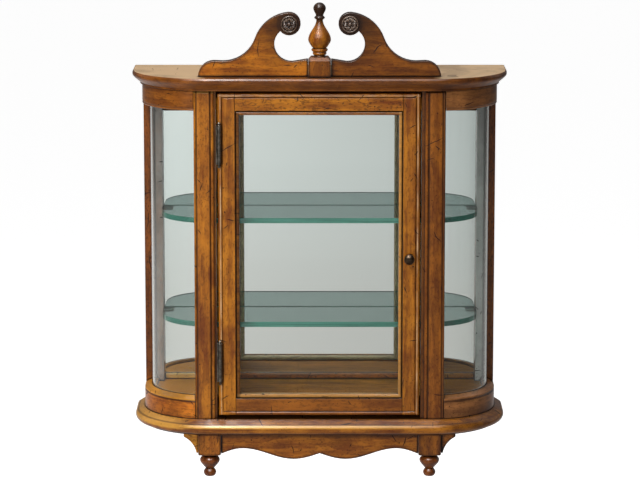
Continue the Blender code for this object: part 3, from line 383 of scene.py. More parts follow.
@mask
def painted_nose_highlight(place):
    """Painted highlight on the upper curve of the nose, strongest left of the middle, and golden painted
    light on the left end.
    """
    x, _, z = parts(place)
    upward = rise(z, NOSE_FRONT + 0.0006, NOSE_FRONT + 0.0030) * rise(z, NOSE_TOP, NOSE_TOP - 0.0010)
    leftward = (rise(x, *NOSE_LEFT) * 0.35 + 0.60) * rise(x, *NOSE_RIGHT)
    ends = rise(abs(x), *NOSE_ENDS)
    streaks = noise(stretched(place, 12.0, 420.0), detail=3.0) + 0.40
    left_end = rise(x, *LEFT_END) * rise(tilt(place, 2), -0.35, 0.10)
    return most(upward * leftward * ends * streaks, left_end * 0.55)


umber_level_shaded = wood_finish("umber_level_shaded", PLATE_SHADE_UMBER, ALONG_X, rough=0.55, coat=0.15)
base_amber = wood_finish("base_amber", BASE_AMBER, ALONG_X, flecks=0.45, coat=0.8, shade=painted_shade_under_door,
                         painted_light=painted_nose_highlight, pale=HIGHLIGHT_GOLD)
sand("base_plate", umber_level_shaded, "dark_wood")
sand("base_board", base_amber, "amber_wood")

# Front stiles and back posts: four sticks of solid wood that stand on the base and carry the top. The stiles
# have a bead on both edges, a strip set back beside the door and a groove for the bent glass. Painted shade
# lies in the grooves beside the beads, on the set-back strip and over the right outer bead, with a painted
# highlight on the left stile's head, and the right stile's wood is a darker copy, painted shade. A painted
# grey sheen of the glass lies on the front of the posts inside it. Holes for the shelf pins are bored in all
# four.
STILE_AMBER = (0.455, 0.158, 0.011, 1), (0.138, 0.033, 0.004, 1)
RUSSET = (0.33, 0.105, 0.010, 1), (0.115, 0.030, 0.005, 1)
BROWN = (0.250, 0.070, 0.010, 1), (0.090, 0.024, 0.005, 1)
# Grey of the painted reflection on the posts.
SHEEN_GREY = (0.56, 0.56, 0.54, 1)
OUTER_QUIRK = 0.1812
INNER_QUIRK = 0.1612
STRIP_EDGE = 0.1555
# Edge of the painted grey sheen on the posts.
SHEEN_EDGE = 0.2514
LEFT_TO_RIGHT = (-0.2, 0.2)


@mask
def painted_stile_shade(place):
    """Painted shade in the groove beside each bead, on the strip set back beside the door and over the right
    outer bead.
    """
    x, _, _ = parts(place)
    across = abs(x)
    grooves = most(stripe(across, OUTER_QUIRK, outer=0.0016, inner=0.0006),
                   stripe(across, INNER_QUIRK, outer=0.0019, inner=0.0008))
    strip = rise(across, STRIP_EDGE + 0.0004, STRIP_EDGE - 0.0004)
    right_bead = rise(x, OUTER_QUIRK - 0.0014, OUTER_QUIRK - 0.0002)
    return most(grooves * 0.72, most(strip, right_bead) * 0.5) * rise(tilt(place, 1), -0.1, -0.4)


@mask
def painted_glass_sheen(place):
    """Painted reflection: a grey sheen of the glass over the front of a post inside it, stronger on the right
    one.
    """
    x, _, _ = parts(place)
    inside = rise(abs(x), SHEEN_EDGE, SHEEN_EDGE - 0.0006)
    smear = noise(place, 90.0, 4.0) * 0.3 + 0.22 + rise(x, *LEFT_TO_RIGHT) * 0.50
    return inside * rise(tilt(place, 1), -0.3, -0.7) * smear


@mask
def painted_head_highlight(place):
    """Painted highlight on the chamfer under the top board."""
    return rise(tilt(place, 2), 0.3, 0.6) * 0.8


# The right stile's darker copy of the wood is painted shade.
stile_russet_shaded = wood_finish("stile_russet_shaded", RUSSET, ALONG_Z, flecks=0.45, shade=painted_stile_shade)
post_brown = wood_finish("post_brown", BROWN, ALONG_Z, painted_light=painted_glass_sheen, pale=SHEEN_GREY)
stile_amber = wood_finish("stile_amber", STILE_AMBER, ALONG_Z, flecks=0.45, glaze=0.6, shade=painted_stile_shade,
                          painted_light=painted_head_highlight)
sand("front_stile_left", stile_amber, "amber_wood")
sand("front_stile_right", stile_russet_shaded, "amber_wood")
for post in ("back_post_left", "back_post_right"):
    sand(post, post_brown, "amber_wood")

# Curved rails of the two bays: bent laminated wood, tenoned between post and stile and grooved to take the
# glass, with a bead along the glass side. Painted shade lies in the groove beside each lower bead and darkens
# the lower rails towards the base, and a painted highlight lies on the left one's bead and lip. The lower
# left rail is a golden copy of the wood, painted light, and the right rails a duller copy, painted shade.
GOLDEN_BEND = (0.78, 0.240, 0.013, 1), (0.24, 0.054, 0.005, 1)
DULL_BEND = (0.40, 0.158, 0.045, 1), (0.155, 0.058, 0.019, 1)
# Colour of the painted highlight on the lower left rail's bead.
HIGHLIGHT_ORANGE = (0.78, 0.36, 0.04, 1)
BAY_CENTRE = (0.1615, -0.0538)
BAY_RADIUS = 0.104
SIDES_APART = 0.7
QUIRK_Z = -0.4431
RAIL_FOOT = (-0.450, -0.470)


@shader_group({}, {"Bent": "Vector"})
def bay_curve(place):
    """The place measured round the curve of the bay, so that the grain follows it."""
    x, y, z = parts(place)
    out, front = abs(x) - BAY_CENTRE[0], y - BAY_CENTRE[1]
    around = calc("ARCTAN2", front, out) * BAY_RADIUS + calc("SIGN", x) * SIDES_APART
    depth = calc("SQRT", out * out + front * front)
    return add(place.tree, "ShaderNodeCombineXYZ", {0: around, 1: depth, 2: z})[0]


@mask
def painted_quirk_shade(place):
    """Painted shade in and beside the groove under the lower rails' bead, and thinly towards the base."""
    _, _, z = parts(place)
    return most(stripe(z, QUIRK_Z, outer=0.0020, inner=0.0009) * 0.7, rise(z, *RAIL_FOOT) * 0.38)


@mask
def painted_bead_highlight(place):
    """Painted highlight on the bead and lip above the groove."""
    _, _, z = parts(place)
    return rise(z, QUIRK_Z + 0.0005, QUIRK_Z + 0.0020) * 0.60


# The lower left rail's golden copy of the wood is painted light, and the right rails' duller copy painted
# shade.
bent_golden_lit = wood_finish("bent_golden_lit", GOLDEN_BEND, ALONG_X, flecks=0.45, shade=painted_quirk_shade,
                          painted_light=painted_bead_highlight, pale=HIGHLIGHT_ORANGE, bend=bay_curve)
bent_russet = wood_finish("bent_russet", RUSSET, ALONG_X, flecks=0.45, bend=bay_curve)
bent_dull_shaded = wood_finish("bent_dull_shaded", DULL_BEND, ALONG_X, flecks=0.45, shade=painted_quirk_shade, bend=bay_curve)
sand("bottom_rail_left", bent_golden_lit, "amber_wood")
sand("bottom_rail_right", bent_dull_shaded, "amber_wood")
sand("top_rail_left", bent_russet, "amber_wood")
sand("top_rail_right", bent_dull_shaded, "amber_wood")

# Side glass: one sheet of 3 mm glass in each bay, bent in a kiln over a mould and slid into the grooves of
# the rails. It is clear, with the faint unevenness that bending leaves.
WAVE_DEPTH = 0.001


def glass_finish(name, tint, wave, wave_scale, index, deep, density):
    """Clear glass that lets the lamps' light through, and shows its deep colour where one looks along it."""
    finish, tree, shader, place = new_finish(name)
    film = rise(noise(place, 22.0, 4.0, 0.6), 0.55, 0.85) * 0.03
    uneven = {"Height": noise(place, wave_scale, 1.0), "Strength": wave, "Distance": WAVE_DEPTH}
    plug(tree, shader, {"Base Color": tint, "Transmission Weight": 1.0, "IOR": index, "Roughness": film,
                        "Normal": add(tree, "ShaderNodeBump", uneven)[0]})
    clear = add(tree, "ShaderNodeBsdfTransparent", {"Color": tint})[0]
    lamp = add(tree, "ShaderNodeLightPath")["Is Shadow Ray"]
    mixed = add(tree, "ShaderNodeMixShader", {0: lamp, 1: Layer(shader.outputs[0]), 2: clear})[0]
    depth = add(tree, "ShaderNodeVolumeAbsorption", {"Color": deep, "Density": density})[0]
    plug(tree, tree.nodes["Material Output"], {"Surface": mixed, "Volume": depth})
    return finish


bent_glass = glass_finish("bent_glass", tint=(0.995, 1.0, 0.998, 1), wave=0.10, wave_scale=9.0, index=1.40,
                          deep=(0.40, 0.55, 0.50, 1), density=55.0)
for pane in ("side_glass_left", "side_glass_right"):
    settle(weld(pane, f"polished_{pane}"), bent_glass, "clear_glass", "case", pane)

# Inside woodwork: sill, header, back rails, floor and the strip that holds the mirror's foot. Plain boards in
# a duller brown, glued in before the back goes on. The floor and the strip are painted paler in the bays as
# the light that comes in there, more on the left.
INNER_BROWN = (0.285, 0.104, 0.012, 1), (0.100, 0.034, 0.006, 1)
# Colours of the painted light in the bays.
BAY_LIGHT_FLOOR = (0.60, 0.225, 0.018, 1)
BAY_LIGHT_STRIP = (0.80, 0.42, 0.09, 1)
LEFT_BAY = (-0.150, -0.190)
RIGHT_BAY = (0.150, 0.190)


@mask
def painted_bay_light(place):
    """Painted light: paler in the bays, where the light comes in, and more so on the left."""
    x, _, _ = parts(place)
    return rise(x, *LEFT_BAY) * 0.85 + rise(x, *RIGHT_BAY) * 0.12


dull = {"marks": 0.35, "flecks": 0.4, "glaze": 0.6, "rough": 0.6, "coat": 0.0, "sheen": 0.02}
inner_brown = wood_finish("inner_brown", INNER_BROWN, ALONG_X, **dull)
floor_with_painted_light = wood_finish("floor_with_painted_light", INNER_BROWN, ALONG_X, painted_light=painted_bay_light, pale=BAY_LIGHT_FLOOR, **dull)
strip_brown = wood_finish("strip_brown", BROWN, ALONG_X, painted_light=painted_bay_light, pale=BAY_LIGHT_STRIP)
for board in ("sill_rail", "header_rail", "back_bottom_rail", "hanging_rail"):
    sand(board, inner_brown, "inner_wood")
sand("floor_panel", floor_with_painted_light, "inner_wood")
sand("mirror_strip", strip_brown, "inner_wood")

# Mirror back: a silvered sheet of 4 mm glass in the rebate of the posts, with a thin hardboard panel behind
# it that is pinned on with small brads.
mirror_silver, tree, shader, place = new_finish("mirror_silver")
foxing = rise(noise(place, 30.0, 5.0, 0.7), 0.60, 0.80)
silver = fade(foxing * 0.06, (0.87, 0.905, 0.885, 1), (0.60, 0.62, 0.58, 1))
plug(tree, shader, {"Base Color": silver, "Roughness": foxing * 0.03, "Metallic": 1.0})
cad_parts["mirror"].data.materials.clear()
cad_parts["mirror"].data.materials.append(mirror_silver)

HARDBOARD = (0.24, 0.125, 0.058, 1), (0.145, 0.072, 0.034, 1)
PANEL_ARRIS = 0.0004
panel_brown = wood_finish("panel_brown", HARDBOARD, ALONG_X, marks=0.0, flecks=0.25, glaze=0.5, rough=0.72,
                          coat=0.1)
sand("back_panel", panel_brown, "inner_wood", arris=PANEL_ARRIS)

BRAD_RADIUS = 0.0012
BRAD_SIDES = 16
BRAD_PROUD = 0.0003
BRAD_INSET = 0.0060
BRADS_WIDE = 8
BRADS_HIGH = 7
SCREW_TURN = 2.4


def two_toned(name, first, second, spots, gloss, spread=None, stretch=None, metal=0.0):
    """Two colours mixed by fine noise, which also varies the roughness by a share and a start."""
    finish, tree, shader, place = new_finish(name)
    tone = noise(stretched(place, *stretch) if stretch else place, *spots)
    colour = fade(rise(tone, *spread) if spread else tone, first, second)
    plug(tree, shader, {"Base Color": colour, "Roughness": tone * gloss[0] + gloss[1], "Metallic": metal})
    return finish


def close_up():
    """Turn all faces outward, leave edit mode, and put the piece's place in its mesh."""
    bpy.ops.mesh.select_all(action="SELECT")
    bpy.ops.mesh.normals_make_consistent(inside=False)
    bpy.ops.object.mode_set(mode="OBJECT")
    bpy.ops.object.transform_apply(location=True, rotation=True, scale=True)
    bpy.ops.object.shade_smooth_by_angle(angle=ROUND_ANGLE)


def pressed_head(radius, sides, sink, wall, crown):
    """Round head that faces up: a disc drawn up to a wall, then inset and raised step by step."""
    bpy.ops.object.select_all(action="DESELECT")
    bpy.ops.mesh.primitive_circle_add(vertices=sides, radius=radius, fill_type="NGON", location=(0, 0, -sink))
    bpy.ops.object.mode_set(mode="EDIT")
    bpy.ops.mesh.select_all(action="SELECT")
    bpy.ops.mesh.extrude_region_move(TRANSFORM_OT_translate={"value": (0, 0, wall)})
    for inset, lift in crown:
        bpy.ops.mesh.inset(thickness=inset)
        bpy.ops.transform.translate(value=(0, 0, lift))
    close_up()
    return bpy.context.object


def joined(pieces):
    """Join pieces into the first of them, with its place in its mesh."""
    select_only(*pieces)
    bpy.ops.object.join()
    bpy.ops.object.transform_apply(location=True, rotation=True, scale=True)
    return pieces[0]


def drive(head, name, seats, facing, finish, slot, body):
    """Copy a screw or brad to each seat, each turned its own way, and join the copies."""
    upright = Vector(facing).to_track_quat("Z", "Y").to_matrix().to_4x4()
    copies = [copied(head.data, name) for _ in seats]
    for count, (copy, seat) in enumerate(zip(copies, seats)):
        copy.matrix_world = Matrix.Translation(seat) @ upright @ Matrix.Rotation(count * SCREW_TURN, 4, "Z")
    return settle(joined(copies), finish, slot, body)


plated_steel = two_toned("plated_steel_satin", (0.48, 0.48, 0.46, 1), (0.66, 0.66, 0.63, 1),
                         spots=(240.0, 3.0, 0.6), gloss=(0.2, 0.24), metal=1.0)
low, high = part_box("back_panel")
left, right = low[0] + BRAD_INSET, high[0] - BRAD_INSET
foot, head = low[2] + BRAD_INSET, high[2] - BRAD_INSET
seats = [(left + (right - left) * k / BRADS_WIDE, high[1], z)
         for z in (foot, head) for k in range(BRADS_WIDE + 1)]
seats += [(x, high[1], foot + (head - foot) * k / BRADS_HIGH)
          for x in (left, right) for k in range(1, BRADS_HIGH)]
brad = pressed_head(BRAD_RADIUS, BRAD_SIDES, sink=BRAD_PROUD, wall=BRAD_PROUD * 1.5,
                    crown=((BRAD_RADIUS * 0.3, BRAD_PROUD * 0.3), (BRAD_RADIUS * 0.3, BRAD_PROUD * 0.2)))
drive(brad, "back_panel_brads", seats, (0, 1, 0), plated_steel, "plated_steel", "case")
bpy.data.objects.remove(brad)

# Hangers: two plated steel keyhole plates let flush into the hanging rail near its ends. Each is held by two
# slotted countersunk screws, above and below the keyhole.
FILED_ARRIS = 0.0003
SCREW_RADIUS = 0.0022
SCREW_SIDES = 28
SCREW_PROUD = 0.0001
SCREW_SINK = 0.0004
SLOT_WIDTH = 0.0006
HANGER_SCREW_RISE = 0.0120


def worked(piece, kind, **settings):
    """Give a piece a modifier and apply it."""
    work = piece.modifiers.new("work", kind)
    for name, value in settings.items():
        setattr(work, name, value)
    select_only(piece)
    bpy.ops.object.modifier_apply(modifier=work.name)


def screw_head():
    """Slotted countersunk head that faces up, with its rim at the level of the plate."""
    head = pressed_head(SCREW_RADIUS, SCREW_SIDES, sink=SCREW_SINK, wall=SCREW_SINK + SCREW_PROUD * 0.4,
                        crown=((SCREW_RADIUS * 0.15, SCREW_PROUD * 0.6),))
    bpy.ops.mesh.primitive_cube_add(size=1, scale=(SCREW_RADIUS * 3, SLOT_WIDTH, SCREW_PROUD * 1.8),
                                    location=(0, 0, SCREW_PROUD))
    blade = bpy.context.object
    worked(head, "BOOLEAN", object=blade)
    bpy.data.objects.remove(blade)
    bpy.ops.object.shade_smooth_by_angle(angle=ROUND_ANGLE)
    return head


screw = screw_head()
for side in ("left", "right"):
    sand(f"hanger_{side}", plated_steel, "plated_steel", arris=FILED_ARRIS, prefix="filed")
    low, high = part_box(f"hanger_{side}")
    seats = [((low[0] + high[0]) / 2, high[1], z) for z in (-HANGER_SCREW_RISE, HANGER_SCREW_RISE)]
    drive(screw, f"hanger_screws_{side}", seats, (0, 1, 0), plated_steel, "plated_steel", "case")

# Top board: a wide board with a round nose that slopes in to a fillet, glued and screwed down on the stiles,
# posts and rails. Its upper face is painted pale as light from above, over the darker stain that its front
# shows.
TOP_RUSSET = (0.255, 0.078, 0.008, 1), (0.088, 0.024, 0.004, 1)
TOP_LIGHT_TAN = (0.84, 0.56, 0.30, 1)
PEDIMENT_ENDS = (0.165, 0.182)
LEDGE = (-0.142, -0.134)


@mask
def painted_top_light(place):
    """Painted light on the up-facing faces, except the narrow ledge in front of the pediment."""
    x, y, _ = parts(place)
    beside = most(rise(abs(x), *PEDIMENT_ENDS), rise(y, *LEDGE))
    return rise(tilt(place, 2), 0.80, 0.99) * beside * 0.93


russet_with_painted_top_light = wood_finish("russet_with_painted_top_light", TOP_RUSSET, ALONG_X, marks=0.5, flecks=0.5, coat=0.65,
                           painted_light=painted_top_light, pale=TOP_LIGHT_TAN)
sand("top_board", russet_with_painted_top_light, "amber_wood")

# Skirt under the base: two square blocks with turned feet, a scalloped apron between them and a curved
# bracket outside each. All are sawn from solid wood and glued up under the plate, with glaze left dark on
# the sawn edges, and a painted shadow along the top of the apron under the plate. The left bracket is a
# golden copy of the wood, painted light, and the right bracket and right block are darker copies, painted
# shade.
APRON_AMBER = (0.56, 0.190, 0.016, 1), (0.19, 0.048, 0.007, 1)
BLOCK_RUSSET = (0.37, 0.120, 0.011, 1), RUSSET[1]
BRACKET_GOLD = (0.80, 0.36, 0.03, 1), (0.38, 0.12, 0.01, 1)
SAWN_ARRIS = 0.0010
RIM_WIDTH = 0.0045
APRON_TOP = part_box("apron")[1][2]
PLATE_SHADE = (APRON_TOP - 0.0100, APRON_TOP - 0.0042)


@mask
def dark_rim(place):
    """Glaze left dark along the sawn edges."""
    return rise(hollows(place, RIM_WIDTH, inside=True), 0.99, 0.60) * (noise(place, 45.0, 3.0) * 0.7 + 0.5)


@mask
def rim_glaze_and_plate_shadow(place):
    """Dark glaze on the sawn edges, and a painted shadow along the top of the apron, under the plate."""
    _, _, z = parts(place)
    return most(rise(z, *PLATE_SHADE) * 0.66, use(dark_rim, place)["Mask"])


# The left bracket's golden copy of the wood is painted light; the right block and right bracket are darker
# copies, painted shade.
golden_level_lit = wood_finish("golden_level_lit", BRACKET_GOLD, ALONG_X, glaze=0.6)
block_amber = wood_finish("block_amber", APRON_AMBER, ALONG_Z, flecks=0.7, shade=dark_rim)
foot_block_russet_shaded = wood_finish("foot_block_russet_shaded", BLOCK_RUSSET, ALONG_Z, flecks=0.7, shade=dark_rim)
rimmed_level = wood_finish("rimmed_level", APRON_AMBER, ALONG_X, flecks=0.5, shade=rim_glaze_and_plate_shadow)
rimmed_brown_shaded = wood_finish("rimmed_brown_shaded", RUSSET, ALONG_X, flecks=0.6, shade=dark_rim)
sand("foot_block_left", block_amber, "amber_wood")
sand("foot_block_right", foot_block_russet_shaded, "amber_wood")
sand("apron", rimmed_level, "amber_wood", arris=SAWN_ARRIS)
sand("bracket_left", golden_level_lit, "amber_wood", arris=SAWN_ARRIS)
sand("bracket_right", rimmed_brown_shaded, "amber_wood", arris=SAWN_ARRIS)

FOOT_RUSSET = (0.36, 0.100, 0.013, 1), (0.125, 0.030, 0.006, 1)
LATHE_SIDES = 64
RUN_STEPS = 10
FOOT_KNOTS = [(0.0, 0.0062, 0.0), (0.0059, 0.0094, 0.8), (0.0121, 0.0058, 0.5), (0.0245, 0.0149, 0.45),
              (0.0312, 0.0088, 0.8)]
FOOT_COLLAR = [(0.0318, 0.0100), (0.0325, 0.0110), (0.0338, 0.0110)]
UP = (0, 0, 1)


def eased(knots, steps):
    """Outline through (height, radius, fullness) knots, level at each. A full run bulges like a ball."""
    outline = [knots[0][:2]]
    for (h0, r0, _), (h1, r1, fullness) in zip(knots, knots[1:]):
        for k in range(1, steps + 1):
            t = k / steps
            soft = (1 - math.cos(math.pi * t)) / 2
            full = math.sqrt(1 - (1 - t) ** 2) if r1 > r0 else 1 - math.sqrt(1 - t ** 2)
            outline.append((h0 + (h1 - h0) * t, r0 + (r1 - r0) * (soft + (full - soft) * fullness)))
    return outline


def turn_on_lathe(name, outline, foot, along):
    """Draw a disc out along its axis, ring by ring, to an outline of (height, radius) pairs."""
    foot, along = Vector(foot), Vector(along)
    bpy.ops.object.select_all(action="DESELECT")
    reach, radius = outline[0]
    bpy.ops.mesh.primitive_circle_add(vertices=LATHE_SIDES, radius=radius, fill_type="NGON",
                                      location=foot + along * reach,
                                      rotation=along.to_track_quat("Z", "Y").to_euler())
    bpy.context.object.name = name
    bpy.ops.object.mode_set(mode="EDIT")
    bpy.ops.mesh.select_all(action="SELECT")
    for height, width in outline[1:]:
        bpy.ops.mesh.extrude_region_move(TRANSFORM_OT_translate={"value": along * (height - reach)})
        share = [1.0 if abs(part) > 0.5 else width / radius for part in along]
        bpy.ops.transform.resize(value=share, center_override=foot + along * height)
        reach, radius = height, width
    close_up()
    return bpy.context.object


def middle(node):
    """Middle of a solid's box."""
    low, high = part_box(node)
    return (Vector(low) + Vector(high)) / 2


def end_of(node, axis, end):
    """Middle of one side of a solid's box: end 0 is the low side of the axis, 1 the high side."""
    spot = middle(node)
    spot[axis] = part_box(node)[end][axis]
    return spot


def copy_across(piece, name, shift):
    """Copy a finished piece with its mesh and move the copy's mesh over."""
    copy = copied(piece.data, name)
    copy.location = shift
    return joined([copy])


foot_russet = wood_finish("foot_russet", FOOT_RUSSET, ALONG_Z, flecks=0.5, coat=0.8)
outline = eased(FOOT_KNOTS, RUN_STEPS) + FOOT_COLLAR
foot = turn_on_lathe("turned_foot_left", outline, end_of("foot_left", 2, 0), UP)
settle(foot, foot_russet, "amber_wood", "case", "foot_left")
other_foot = copy_across(foot, "turned_foot_right", middle("foot_right") - middle("foot_left"))
settle(other_foot, foot_russet, "amber_wood", "case", "foot_right")

# Swan-neck pediment: two sawn scrolls and a block between them, fixed on the top board, with a turned finial
# on the block and a carved rosette on each scroll. The right scroll is a darker copy of the left one's wood,
# painted shade, and the right rosette a lighter copy of the left one's finish, painted light.
SCROLL_AMBER = (0.58, 0.195, 0.012, 1), (0.20, 0.048, 0.005, 1)
SCROLL_RUSSET = (0.36, 0.115, 0.010, 1), RUSSET[1]
SCROLL_ARRIS = 0.0012
VOLUTE = middle("rosette_right")
SCROLL_REACH = (0.085, 0.010)
VOLUTE_REACH = (0.030, 0.017)


@mask
def scroll_shade(place):
    """Darker on the sawn edges and towards the scrolls' ends."""
    x, _, z = parts(place)
    across, up = abs(x) - VOLUTE.x, z - VOLUTE.z
    away = calc("SQRT", across * across + up * up)
    sides = rise(abs(tilt(place, 1)), 0.80, 0.45)
    return most(rise(away, *SCROLL_REACH) * 0.88, rise(away, *VOLUTE_REACH) * 0.93, sides * 0.9,
                use(dark_rim, place)["Mask"])


sawn = {"flecks": 0.4, "coat": 0.35, "shade": scroll_shade}
scroll_amber = wood_finish("scroll_amber", SCROLL_AMBER, ALONG_X, **sawn)
# The right scroll's darker copy of the wood is painted shade.
scroll_russet_shaded = wood_finish("scroll_russet_shaded", SCROLL_RUSSET, ALONG_X, **sawn)
block_russet = wood_finish("block_russet", RUSSET, ALONG_Z, flecks=0.6, coat=0.3, shade=dark_rim)
sand("pediment_left", scroll_amber, "amber_wood", arris=SCROLL_ARRIS)
sand("pediment_right", scroll_russet_shaded, "amber_wood", arris=SCROLL_ARRIS)
sand("finial_block", block_russet, "amber_wood")

AMBER = (0.50, 0.178, 0.012, 1), (0.150, 0.036, 0.004, 1)
FINIAL_KNOTS = [(0.0, 0.0082, 0.0), (0.0014, 0.0078, 0.0), (0.0046, 0.0103, 0.6), (0.0066, 0.0094, 0.3),
                (0.0098, 0.0121, 0.7), (0.0124, 0.0096, 0.6), (0.0246, 0.0167, 0.5), (0.0537, 0.0048, 0.0),
                (0.0568, 0.0078, 0.4), (0.0603, 0.0051, 0.3), (0.0705, 0.0092, 0.3)]
FINIAL_CROWN = 0.0086
TIP_SHARE = 0.03
FINIAL_FOOT = end_of("finial", 2, 0)
FINIAL_NECK = (0.040, 0.057)


def dome(height, radius, crown, steps):
    """Quarter round that closes the end of a turning."""
    angles = [math.pi / 2 * k / steps for k in range(1, steps)]
    curve = [(height + crown * math.sin(angle), radius * math.cos(angle)) for angle in angles]
    return curve + [(height + crown, radius * TIP_SHARE)]


@mask
def dark_ball(place):
    """The ball and its neck were dipped darker than the vase below."""
    _, _, z = parts(place)
    return rise(z - FINIAL_FOOT.z, *FINIAL_NECK) * 0.96


finial_amber = wood_finish("finial_amber", AMBER, ALONG_Z, marks=0.5, flecks=0.3, coat=0.3, shade=dark_ball)
outline = eased(FINIAL_KNOTS, RUN_STEPS) + dome(*FINIAL_KNOTS[-1][:2], FINIAL_CROWN, RUN_STEPS)
settle(turn_on_lathe("turned_finial", outline, FINIAL_FOOT, UP), finial_amber, "amber_wood", "case", "finial")

CARVED_UMBER = (0.135, 0.088, 0.058, 1), (0.044, 0.027, 0.018, 1)
CARVED_GREY = (0.34, 0.235, 0.170, 1), (0.115, 0.076, 0.054, 1)
FRONTWARD = (0, -1, 0)
SMALL_STEPS = 8
PETALS = 6
PETAL_REACH = 0.0062
PETAL_SIZE = (0.0034, 0.0022, 0.0027)
PETAL_LIFT = 0.0032
CREASE_WIDTH, CREASE_DEPTH = 0.2, 0.45
ROOT_LENGTH, ROOT_WIDTH = 0.2, 0.6
LEAF_REACH = 0.0078
LEAF_SHARE = 0.62
CARVING_GRIT = 0.0003
DISC = [(0.0, 0.0124), (0.0030, 0.0124), (0.0039, 0.0121), (0.0043, 0.0116), (0.0043, 0.0110),
        (0.0038, 0.0105), (0.0025, 0.0099), (0.0022, 0.0092), (0.0024, 0.0070), (0.0026, 0.0004)]
BUTTON_FOOT = (0.0020, 0.0031)
BUTTON_CROWN = 0.0046


def select_points(piece, chosen):
    """Select the points of a mesh in edit mode by their place."""
    bpy.ops.mesh.select_all(action="DESELECT")
    bpy.ops.object.mode_set(mode="OBJECT")
    for point in piece.data.vertices:
        point.select = chosen(point.co)
    bpy.ops.object.mode_set(mode="EDIT")


def carved_petal():
    """Petal along X: a flat ball, creased down its length and narrowed towards the flower's middle."""
    bpy.ops.object.select_all(action="DESELECT")
    bpy.ops.mesh.primitive_uv_sphere_add(segments=24, ring_count=16, radius=1.0, scale=PETAL_SIZE)
    petal = bpy.context.object
    long, deep, wide = PETAL_SIZE
    bpy.ops.object.transform_apply(scale=True)
    bpy.ops.object.mode_set(mode="EDIT")
    bpy.ops.mesh.select_all(action="SELECT")
    bpy.ops.mesh.bisect(plane_co=(0, 0, 0), plane_no=(0, 0, 1))
    select_points(petal, lambda spot: abs(spot.z) < wide * CREASE_WIDTH and spot.y < 0)
    bpy.ops.transform.translate(value=(0, deep * CREASE_DEPTH, 0))
    select_points(petal, lambda spot: spot.x < -long * ROOT_LENGTH)
    bpy.ops.transform.resize(value=(1.0, 1.0, ROOT_WIDTH), center_override=(0, 0, 0))
    bpy.ops.object.mode_set(mode="OBJECT")
    return petal


def carve_rosette(name, back):
    """Turned disc with a raised rim, petals and leaves round it and a button, worked into one surface."""
    disc = turn_on_lathe(name, DISC, back, FRONTWARD)
    button = [BUTTON_FOOT] + dome(*BUTTON_FOOT, BUTTON_CROWN, SMALL_STEPS)
    pieces = [disc, turn_on_lathe(f"{name}_button", button, back, FRONTWARD)]
    petal = carved_petal()
    for k in range(PETALS * 2):
        reach, size = (PETAL_REACH, 1.0) if k % 2 == 0 else (LEAF_REACH, LEAF_SHARE)
        copy = copied(petal.data, f"{name}_petal")
        copy.matrix_world = (Matrix.Translation(back) @ Matrix.Rotation(math.pi * k / PETALS, 4, "Y")
                             @ Matrix.Translation((reach, -PETAL_LIFT, 0)) @ Matrix.Scale(size, 4))
        pieces.append(copy)
    bpy.data.objects.remove(petal)
    joined(pieces)
    worked(disc, "REMESH", mode="VOXEL", voxel_size=CARVING_GRIT)
    worked(disc, "SMOOTH", factor=0.5, iterations=2)
    bpy.ops.object.shade_smooth()
    return disc


carved_umber = wood_finish("carved_umber", CARVED_UMBER, ALONG_X, marks=0.0, rough=0.30, coat=1.0)
# The right rosette's lighter copy of the finish is painted light.
carved_grey_lit = wood_finish("carved_grey_lit", CARVED_GREY, ALONG_X, marks=0.0, rough=0.30, coat=1.0)
rosette = carve_rosette("carved_rosette_left", end_of("rosette_left", 1, 1))
settle(rosette, carved_umber, "dark_wood", "case", "rosette_left")
other_rosette = copy_across(rosette, "carved_rosette_right", middle("rosette_right") - middle("rosette_left"))
settle(other_rosette, carved_grey_lit, "dark_wood", "case", "rosette_right")

# Shelves: two sheets of 8 mm glass with rounded front corners and polished edges, green through their depth,
# each laid on four bronze pins.
EDGE_SKIN = 0.00008


def green_band(node, name):
    """Skin over the polished edge of a sheet, where the whole depth of the glass shows its green."""
    piece = weld(node, name)
    bpy.ops.object.mode_set(mode="EDIT")
    bpy.ops.mesh.select_mode(type="FACE")
    bpy.ops.mesh.select_all(action="DESELECT")
    bpy.ops.object.mode_set(mode="OBJECT")
    for face in piece.data.polygons:
        face.select = abs(face.normal.z) > 0.5
    bpy.ops.object.mode_set(mode="EDIT")
    bpy.ops.mesh.delete(type="FACE")
    bpy.ops.mesh.select_mode(type="VERT")
    bpy.ops.object.mode_set(mode="OBJECT")
    worked(piece, "SOLIDIFY", thickness=EDGE_SKIN, offset=1.0)
    return piece


def aged_bronze(name, dark, light):
    """Bronze gone dull in patches."""
    return two_toned(name, dark, light, spots=(160.0, 4.0, 0.65), gloss=(0.25, 0.22), spread=(0.35, 0.7),
                     metal=1.0)


shelf_glass = glass_finish("shelf_glass_green", tint=(0.97, 0.99, 0.985, 1), wave=0.03, wave_scale=14.0,
                           index=1.5, deep=(0.20, 0.52, 0.47, 1), density=60.0)
green_edge = two_toned("green_edge", (0.025, 0.108, 0.080, 1), (0.050, 0.172, 0.130, 1), spots=(1.0, 2.0),
                       gloss=(0.1, 0.06), spread=(0.35, 0.65), stretch=(9.0, 700.0))
dark_bronze = aged_bronze("dark_bronze_aged", (0.125, 0.113, 0.094, 1), (0.310, 0.280, 0.230, 1))
for level in ("upper", "lower"):
    shelf = f"shelf_{level}"
    settle(weld(shelf, f"polished_{shelf}"), shelf_glass, "shelf_glass", f"{level}_shelf", shelf)
    settle(green_band(shelf, f"green_edge_{shelf}"), green_edge, "shelf_glass", f"{level}_shelf")
    for corner in ("front_left", "front_right", "back_left", "back_right"):
        pin = f"pin_{level}_{corner}"
        settle(weld(pin, f"turned_{pin}"), dark_bronze, "dark_bronze", "case", pin)

